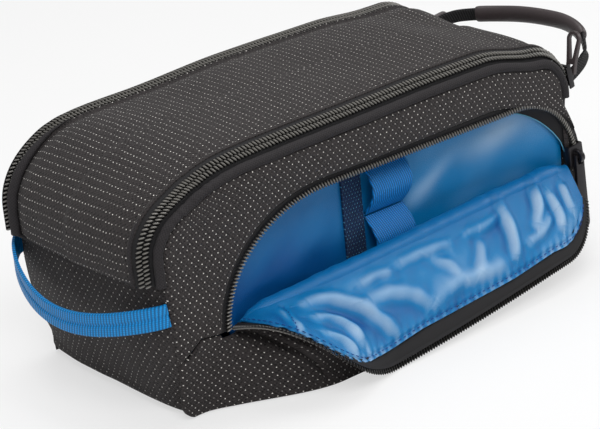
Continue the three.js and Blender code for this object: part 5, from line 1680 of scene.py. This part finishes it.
def make_satin(form):
    """The flap's satin in two sheets: over the fold, and across the flap.

    Its height is a sum of folds, drift waves, gathers by a sine along the hem, and the seam's hollow.
    Its shine, which is painted light, follows the height and its slope: painted highlight on crests and on
    slopes facing the key lamp, painted shade in hollows and round the fold.
    """
    z = form.z
    grid, far, hem, ends = satin_sheet(form)
    X = grid[..., 0]
    normal = normals_of(grid)
    normal *= where(normal[..., 2:].mean() < 0, -1, 1)
    near = smooth(far, -7, 3) * smooth(ends, 0, 9)
    folds = 1.2 * satin_folds(X, far) * (0.15 + 0.85 * smooth(hem, 0.5, 6))
    waves = 0.8 * drift(X, far, 95, 30) + 0.45 * drift(X, far, 96, 12)
    gather_pitch, gather_slant, gather_start = 5.0, 0.3, 1.5
    gather = sin(TURN * (X + gather_slant * far) / gather_pitch + 2.5 * drift(X, far, 97, 40))
    from_hem = maximum(hem - gather_start, 0)
    seam = seam_hollow(X, far)
    lift = folds + waves + 0.45 * gather * np.exp(-from_hem / 2.6) - 0.8 * hill(hem, 2.0, 0.7) - seam
    relief = folds + 0.8 * waves - 0.8 * seam + 0.4 * gather * np.exp(-from_hem / 2.5)
    slope = np.gradient(relief, axis=0) / maximum(np.gradient(X, axis=0), 1e-3)
    # Painted light: painted highlight on crests and on slopes that face the key lamp at the left
    shine = 0.37 + 0.15 * relief + 0.44 * slope + 0.2 * drift(X, far, 98, 45)
    # Painted shade held low round the fold, down the pocket's wall and at the sheet's ends
    shine = mix(0.22, shine, near * smooth(far, 2, 12))
    lift = near * (lift + 1.9 * smooth(hem, 0, 12))
    thick = 0.5
    outer = grid + normal * lift[..., None]
    inner = outer - normal * thick
    uv = pair(X, far)
    split = WALL_ROWS + RIDGE_ROWS
    low, high = slice(None, split + 1), slice(split, None)
    over = give_shine(shell("flap_satin_fold", outer[:, low], inner[:, low], uv[:, low]), shine[:, low])
    middle = (z.arch_left + z.fold_end) / 2
    height, blend_half = float(form.fold_z(middle)), 3.5
    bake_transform(over)
    dress(over, "satin", None, slot="lining")
    across = give_shine(shell("flap_satin", outer[:, high], inner[:, high], uv[:, high]), shine[:, high])
    dress(bend_flap(across), "satin", None, "flap_lining", slot="lining")
    make_seam_stitches(X[:, 0], far, outer, normal)


def make_seam_stitches(x, far, outer, normal):
    """Stitches in the satin's seam, each at the nearest point of the grid."""
    spot = mix(SATIN_SEAM[0], SATIN_SEAM[1], linspace(0.03, 0.97, 10)[:, None])
    row = np.rint(interp(spot[:, 0], x, arange(len(x)))).astype(int)
    column = np.abs(far[row] - spot[:, 1:]).argmin(1)
    places = outer[row, column]
    template, quads = bar_template(-0.9, 0.9, 0.3, 0.26, 0, 6, 5)
    along = unit(np.gradient(places, axis=0))
    piece = repeat("satin_seam_stitches", template, quads, places, along, normal[row, column])
    dress(bend_flap(piece), "thread", None)


def make_hem_stitches(form):
    """A row of stitches just inside the satin's sewn edge."""
    step, inside, stand = 3.0, 1.6, 1.3
    track = form.arch(FLAP_ZIP_END)
    at = arange(4, track.long - 4, step)
    point, along = track.place(at, -facing_width(at / track.long) - inside)
    base = 0.7 + form.z.gap - form.tape_y
    places = xyz(point[:, 0], base + stand, point[:, 1])
    outs, rises = xyz(along[:, 1], 0, -along[:, 0]), tile([0.0, 1.0, 0.0], (len(at), 1))
    template, quads = bar_template(-1.0, 1.0, 0.28, 0.24, 0, 6, 5)
    piece = open_flap(form, repeat("flap_stitches", template, quads, places, outs, rises))
    dress(bend_flap(piece), "thread", None)


def make_facing(form):
    """The dark facing between the flap's zip and its satin, arched by a sine."""
    track = form.arch(FLAP_ZIP_END)
    start, overlap, stand, arch_high, thick = 2.9, 1.6, 0.25, 0.75, 0.6
    s, v = linspace(0.4, track.long - 0.4, 220), linspace(0, 1, 14)
    far = mix(start, facing_width(s / track.long)[:, None] + overlap, v[None])
    point, _ = track.place(broadcast_to(s[:, None], far.shape), -far)
    arched = sin(pi * clip(v * 1.15, 0, 1))[None] ** 0.7
    outer = xyz(point[..., 0], stand - form.tape_y + arch_high * arched, point[..., 1])
    uv = pair(s[:, None], far)
    piece = shell("flap_facing_cloth", outer, outer - (0, thick, 0), uv)
    bend_flap(open_flap(form, piece))
    dress(piece, "trim", None, "flap_facing", slot="trim")


# Straps


def make_strap(form):
    """The grab strap: it swings out by a sine to the power 0.6 and sags by a sine."""
    z = form.z
    root_z, root_in, swing_out, climb, sag = 52.5, 6, 21, 5, 11
    span = float(form.face_y(52)) - z.fabric - z.gap
    share = linspace(0, 1, 160)
    swing = sin(pi * share)
    x = root_in - form.half - swing_out * swing**0.6
    places = xyz(x, mix(-span, span, share), root_z + climb * share - sag * swing)
    ahead = unit(np.gradient(places, axis=0))
    rises = unit(np.cross(ahead, [0, 0, 1.0]))
    rises *= where(rises[:, :1] > 0, -1, 1)
    outs = np.cross(ahead, rises)
    outs *= where(outs[:, 2:] < 0, -1, 1)
    thick, groove, groove_wide, under = 1.7, 0.65, 0.8, 0.2
    half = z.strap_wide / 2
    across = linspace(-half, half, 25)
    top = thick - groove * hill(across, 0, groove_wide) - dip(half - np.abs(across), 0.7, 0.5)
    profile = concatenate([np.c_[across, top], [(half, under), (-half, under)]])
    piece = tube("grab_strap_webbing", ribbon(places, outs, rises, profile))
    dress(piece, "webbing", "bag", "grab_strap", slot="webbing")


def handle_line(form):
    """The handle's middle line through its knots, which are shares of its reach, span and rise.

    Between two knots it is the Catmull-Rom cubic of four neighbours, cut into even steps.
    """
    root_z, reach, span, rise, stand = 81, 29, 90, 22, 1.6
    knot_shares = array([
        (0, -0.5, 0), (0.3, -0.505, 0.14), (0.62, -0.51, 0.42), (0.71, -0.495, 0.72), (0.84, -0.42, 0.92),
        (0.96, -0.28, 1), (1, -0.11, 0.99), (0.98, 0.06, 0.95), (0.91, 0.22, 0.88), (0.74, 0.36, 0.83),
        (0.48, 0.455, 0.79), (0.22, 0.5, 0.66), (0.05, 0.505, 0.3), (0, 0.5, 0),
    ])
    side = form.runs["right_upper"][::-1]
    root_x = interp(root_z, side[:, 1], side[:, 0]) + form.z.gap + stand
    knots = array([root_x, 0, root_z]) + knot_shares * (reach, span, rise)
    ends = np.r_[[2 * knots[0] - knots[1]], knots, [2 * knots[-1] - knots[-2]]]
    t = linspace(0, 1, 30, endpoint=False)[:, None]
    line = []
    for a, b, c, d in zip(ends, ends[1:], ends[2:], ends[3:]):
        square, cube = 2 * a - 5 * b + 4 * c - d, 3 * b - a - 3 * c + d
        line.append(0.5 * (2 * b + (c - a) * t + square * t**2 + cube * t**3))
    line = concatenate(line + [knots[-1:]])
    at = lengths_along(line)
    even = linspace(0, at[-1], 240)
    return stack([interp(even, at, line[:, k]) for k in range(3)], -1)


def make_handle(form):
    """The carry handle: flat webbing along its line, and an oval grip over the middle."""
    line = handle_line(form)
    ahead = unit(np.gradient(line, axis=0))
    rises = unit(np.cross(ahead, [0, 0, 1.0]))
    outs = np.cross(rises, ahead)
    half, half_thick = 3.2, 0.8
    x = linspace(-half, half, 9)
    top = half_thick - dip(half - np.abs(x), 0.5, 0.4)
    profile = concatenate([np.c_[x, top], np.c_[x, -top][::-1]])
    piece = tube("handle_strap_webbing", ribbon(line, outs, rises, profile))
    dress(piece, "black_webbing", "handle", "handle_webbing", slot="black_webbing")
    first, last, wide, high, end_steps, end_share = 54, 178, 4.214, 2.75, 4.0, 0.86
    k = arange(first, last + 1)
    ends = clip(minimum(k - first, last - k) / end_steps, 0, 1)
    size = mix(end_share, 1, sqrt(1 - (1 - ends) ** 2))[:, None]
    turn = around(24)[None]
    rings = swept(line[k], outs[k], rises[k], cos(turn) * wide * size, sin(turn) * high * size)
    piece = tube("handle_grip_moulding", rings, smooth_angle=60)
    dress(piece, "rubber", "handle", "handle_grip", slot="grip")


# Sliders and pullers


def finish_solid(node, name, material, move, lean, about, axis):
    """A copy of a hard piece with merged facets and rounded edges, leaned and moved."""
    merge, flat_angle, hard_angle, edge, sharp_angle = 2e-6, 2, 38, 0.22, 40
    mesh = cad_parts[node].data.copy()
    mesh.name = name
    work = bmesh.new()
    work.from_mesh(mesh)
    bmesh.ops.remove_doubles(work, verts=work.verts[:], dist=merge)
    flat = math.radians(flat_angle)
    bmesh.ops.dissolve_limit(work, angle_limit=flat, verts=work.verts[:], edges=work.edges[:])
    hard = [e for e in work.edges if e.is_manifold and e.calc_face_angle(0) > math.radians(hard_angle)]
    bmesh.ops.bevel(
        work, geom=hard, offset=edge * MM, offset_type="OFFSET", segments=2, profile=0.6, affect="EDGES",
        clamp_overlap=True,
    )
    bmesh.ops.triangulate(work, faces=work.faces[:])
    pivot = Matrix.Translation(Vector(about) * MM)
    turn = pivot @ Matrix.Rotation(math.radians(lean), 4, axis) @ pivot.inverted()
    work.transform(Matrix.Translation(Vector(move) * MM) @ turn)
    work.to_mesh(mesh)
    work.free()
    mesh.polygons.foreach_set("use_smooth", np.ones(len(mesh.polygons), bool))
    mesh.set_sharp_from_angle(angle=math.radians(sharp_angle))
    slot = "slider" if "slider" in node else "puller"
    return dress(link(name, mesh), material, node, node, slot=slot)


def make_hardware():
    """Sliders and pullers, the front ones sunk, and the handle's anchors."""
    sunk = -float(corner_sag(124.5, -51.7, 94.4))
    still = (0, 0, 0)
    for node, material, move, lean, about, axis in (
        ("front_slider", "enamel", (0.6, 0, sunk), 0, still, "Y"),
        ("rear_slider", "enamel", still, 0, still, "Y"),
        ("pocket_slider", "enamel", still, 0, still, "Y"),
        ("front_puller", "rubber", (2.6, 0, sunk), 12, (129, -51.7, 95), "Y"),
        ("rear_puller", "rubber", still, 65, (129, 51.7, 94.7), "X"),
        ("pocket_puller", "enamel", still, 7, (125, -60.5, 50), "Y"),
    ):
        finish_solid(node, f"{node}_shaped", material, move, lean, about, axis)
    for node in ("handle_anchor_front", "handle_anchor_rear"):
        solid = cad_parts[node]
        solid.data.materials.clear()
        solid.data.materials.append(MATERIALS["anchor"])


# Stage


def blend_for_camera(tree, kind, share, first, output):
    """Shows a plain white to the camera by a share, else the first shader."""
    white = tree.nodes.new(kind)
    white.inputs["Color"].default_value = (1, 1, 1, 1)
    blend = tree.nodes.new("ShaderNodeMixShader")
    for socket, value in zip(blend.inputs, (share, first.outputs[0], white.outputs[0])):
        tree.links.new(value, socket)
    tree.links.new(blend.outputs[0], output.inputs[0])


def make_floor():
    """A wide pale floor, partly white of its own to the camera."""
    half, down, white_share = 4.0, 0.0004, 0.6
    material, tree, shader = new_material("Studio floor", 0.9)
    shader.inputs["Base Color"].default_value = (0.9, 0.9, 0.9, 1)
    path = tree.nodes.new("ShaderNodeLightPath")
    share = times(tree, path.outputs["Is Camera Ray"], white_share)
    blend_for_camera(tree, "ShaderNodeEmission", share, shader, tree.nodes["Material Output"])
    mesh = bpy.data.meshes.new("floor")
    corners = [(x * half, y * half, -down) for x, y in ((-1, -1), (1, -1), (1, 1), (-1, 1))]
    mesh.from_pydata(corners, [], [(0, 1, 2, 3)])
    mesh.materials.append(material)
    link("floor", mesh)


def make_world():
    """A white surround: full to the camera, dim as light."""
    world = bpy.data.worlds.new("Studio")
    bpy.context.scene.world = world
    world.use_nodes = True
    tree = world.node_tree
    background = tree.nodes["Background"]
    background.inputs["Color"].default_value = (1, 1, 1, 1)
    background.inputs["Strength"].default_value = 0.3
    path = tree.nodes.new("ShaderNodeLightPath")
    seen = math_node(tree, "MAXIMUM", path.outputs["Is Camera Ray"], path.outputs["Is Transmission Ray"])
    blend_for_camera(tree, "ShaderNodeBackground", seen, background, tree.nodes["World Output"])


def make_lamps():
    """Three area lamps in metres and watts, each turned to the bag."""
    for name, place, aim_z, power, wide in (
        ("key", (-0.5, -0.9, 1.3), 0.05, 12, 0.8),
        ("top", (0.2, 0.3, 1.5), 0.05, 10, 1.0),
        ("right", (1.2, -0.5, 0.7), 0.06, 5, 0.6),
    ):
        light = bpy.data.lights.new(name, "AREA")
        light.energy = power
        light.size = wide
        lamp = link(name, light)
        lamp.location = place
        lamp.rotation_euler = (Vector((0, 0, aim_z)) - Vector(place)).to_track_quat("-Z", "Y").to_euler()


def make_camera():
    """A camera from its turn, height and roll about the middle of the bag."""
    ca, sa = math.cos(CAMERA_TURN), math.sin(CAMERA_TURN)
    ce, se = math.cos(CAMERA_RISE), math.sin(CAMERA_RISE)
    right = Vector((ca, -sa, 0))
    ahead = Vector((sa * ce, ca * ce, -se))
    up = right.cross(ahead)
    target = Vector(CAMERA_AIM) + right * CAMERA_SHIFT[0] + up * CAMERA_SHIFT[1]
    c, s = math.cos(CAMERA_ROLL), math.sin(CAMERA_ROLL)
    axes = Matrix((right * c + up * s, up * c - right * s, -ahead)).transposed().to_4x4()
    camera = bpy.data.cameras.new("Camera")
    camera.sensor_width = SENSOR
    camera.lens = LENS
    camera.clip_end = 20
    eye = link("Camera", camera)
    eye.matrix_world = Matrix.Translation((target - ahead * CAMERA_FAR) * MM) @ axes
    bpy.context.scene.camera = eye
    bpy.context.scene.view_settings.view_transform = "Standard"


# Operators


def bag_form():
    """The bag's form, from the panel's lengths in millimetres."""
    group = bpy.context.scene.bag_sizes
    sizes = {name: round(getattr(group, name) / MM, 4) for name in BagSizes.__annotations__}
    return Form(SimpleNamespace(**SEWN, **sizes))


def build(*makers):
    """Runs the functions that make pieces, each on the bag's form."""
    form = bag_form()
    for make in makers:
        make(form)
    return {"FINISHED"}


class BAG_OT_materials(bpy.types.Operator):
    """Cloths, webbings, coil, enamel and rubber, in the bag's colours"""

    bl_idname = "bag.materials"
    bl_label = "Materials"

    def execute(self, context):
        make_materials(context.scene.bag_colours)
        return {"FINISHED"}


class BAG_OT_cloth(bpy.types.Operator):
    """Lid, faces, ends and bottom of the bag"""

    bl_idname = "bag.cloth"
    bl_label = "Body cloth"

    def execute(self, context):
        return build(make_lid, make_front, make_low_front, make_back, make_bottom, make_ends)


class BAG_OT_linings(bpy.types.Operator):
    """Main lining, pocket lining, elastic loops and net pocket"""

    bl_idname = "bag.linings"
    bl_label = "Linings"

    def execute(self, context):
        return build(make_linings, make_pocket, make_pocket_binding, make_elastic, make_mesh_pocket)


class BAG_OT_zips(bpy.types.Operator):
    """Main zips with their piping, and the pocket's zip"""

    bl_idname = "bag.zips"
    bl_label = "Zips and piping"

    def execute(self, context):
        form = bag_form()
        for name, sign in (("front", -1), ("rear", 1)):
            make_main_zip(form, name, sign)
            make_piping(form, name, sign)
        make_lid_roll(form, "front", -1, 44, 0.8, 3.0)
        make_lid_roll(form, "rear", 1, 66, 2.0, 1.6)
        make_lid_seam_shadow(form)
        make_pocket_zip(form)
        return {"FINISHED"}


class BAG_OT_flap(bpy.types.Operator):
    """The open flap of the front pocket"""

    bl_idname = "bag.flap"
    bl_label = "Pocket flap"

    def execute(self, context):
        return build(make_flap, make_satin, make_hem_stitches, make_facing)


class BAG_OT_straps(bpy.types.Operator):
    """Grab strap and carry handle"""

    bl_idname = "bag.straps"
    bl_label = "Straps"

    def execute(self, context):
        return build(make_strap, make_handle)


class BAG_OT_hardware(bpy.types.Operator):
    """Sliders, pullers and handle anchors"""

    bl_idname = "bag.hardware"
    bl_label = "Hardware"

    def execute(self, context):
        make_hardware()
        return {"FINISHED"}


class BAG_OT_soft(bpy.types.Operator):
    """Does nothing to the pieces"""

    bl_idname = "bag.soft"
    bl_label = "Soft pieces"

    def execute(self, context):
        return {"FINISHED"}


class BAG_OT_stage(bpy.types.Operator):
    """Floor, surround, lamps and camera"""

    bl_idname = "bag.stage"
    bl_label = "Stage"

    def execute(self, context):
        make_floor()
        make_world()
        make_lamps()
        make_camera()
        return {"FINISHED"}


OPERATORS = (
    BAG_OT_materials, BAG_OT_cloth, BAG_OT_linings, BAG_OT_zips, BAG_OT_flap, BAG_OT_straps,
    BAG_OT_hardware, BAG_OT_soft, BAG_OT_stage,
)


class BAG_PT_panel(bpy.types.Panel):
    """The bag's operators, sizes and colours in the sidebar"""

    bl_label = "Toiletry bag"
    bl_idname = "BAG_PT_panel"
    bl_space_type = "VIEW_3D"
    bl_region_type = "UI"
    bl_category = "Bag"

    def draw(self, context):
        """Lists the operators, then the sizes and colours."""
        for operator in OPERATORS:
            self.layout.operator(operator.bl_idname)
        for group in (context.scene.bag_sizes, context.scene.bag_colours):
            column = self.layout.column()
            for name in type(group).__annotations__:
                column.prop(group, name)


CLASSES = (BagSizes, BagColours, *OPERATORS, BAG_PT_panel)


def register():
    """Adds the classes and the bag's two groups of properties."""
    for each in CLASSES:
        bpy.utils.register_class(each)
    bpy.types.Scene.bag_sizes = PointerProperty(type=BagSizes, name="Sizes", description="The bag's sizes")
    bpy.types.Scene.bag_colours = PointerProperty(type=BagColours, name="Colours", description="Its colours")


def unregister():
    """Takes away what register added."""
    del bpy.types.Scene.bag_colours
    del bpy.types.Scene.bag_sizes
    for each in reversed(CLASSES):
        bpy.utils.unregister_class(each)


def main():
    register()
    bpy.ops.bag.materials()
    bpy.ops.bag.cloth()
    bpy.ops.bag.linings()
    bpy.ops.bag.zips()
    bpy.ops.bag.flap()
    bpy.ops.bag.straps()
    bpy.ops.bag.hardware()
    bpy.ops.bag.soft()
    bpy.ops.bag.stage()


if __name__ == "__main__":
    main()
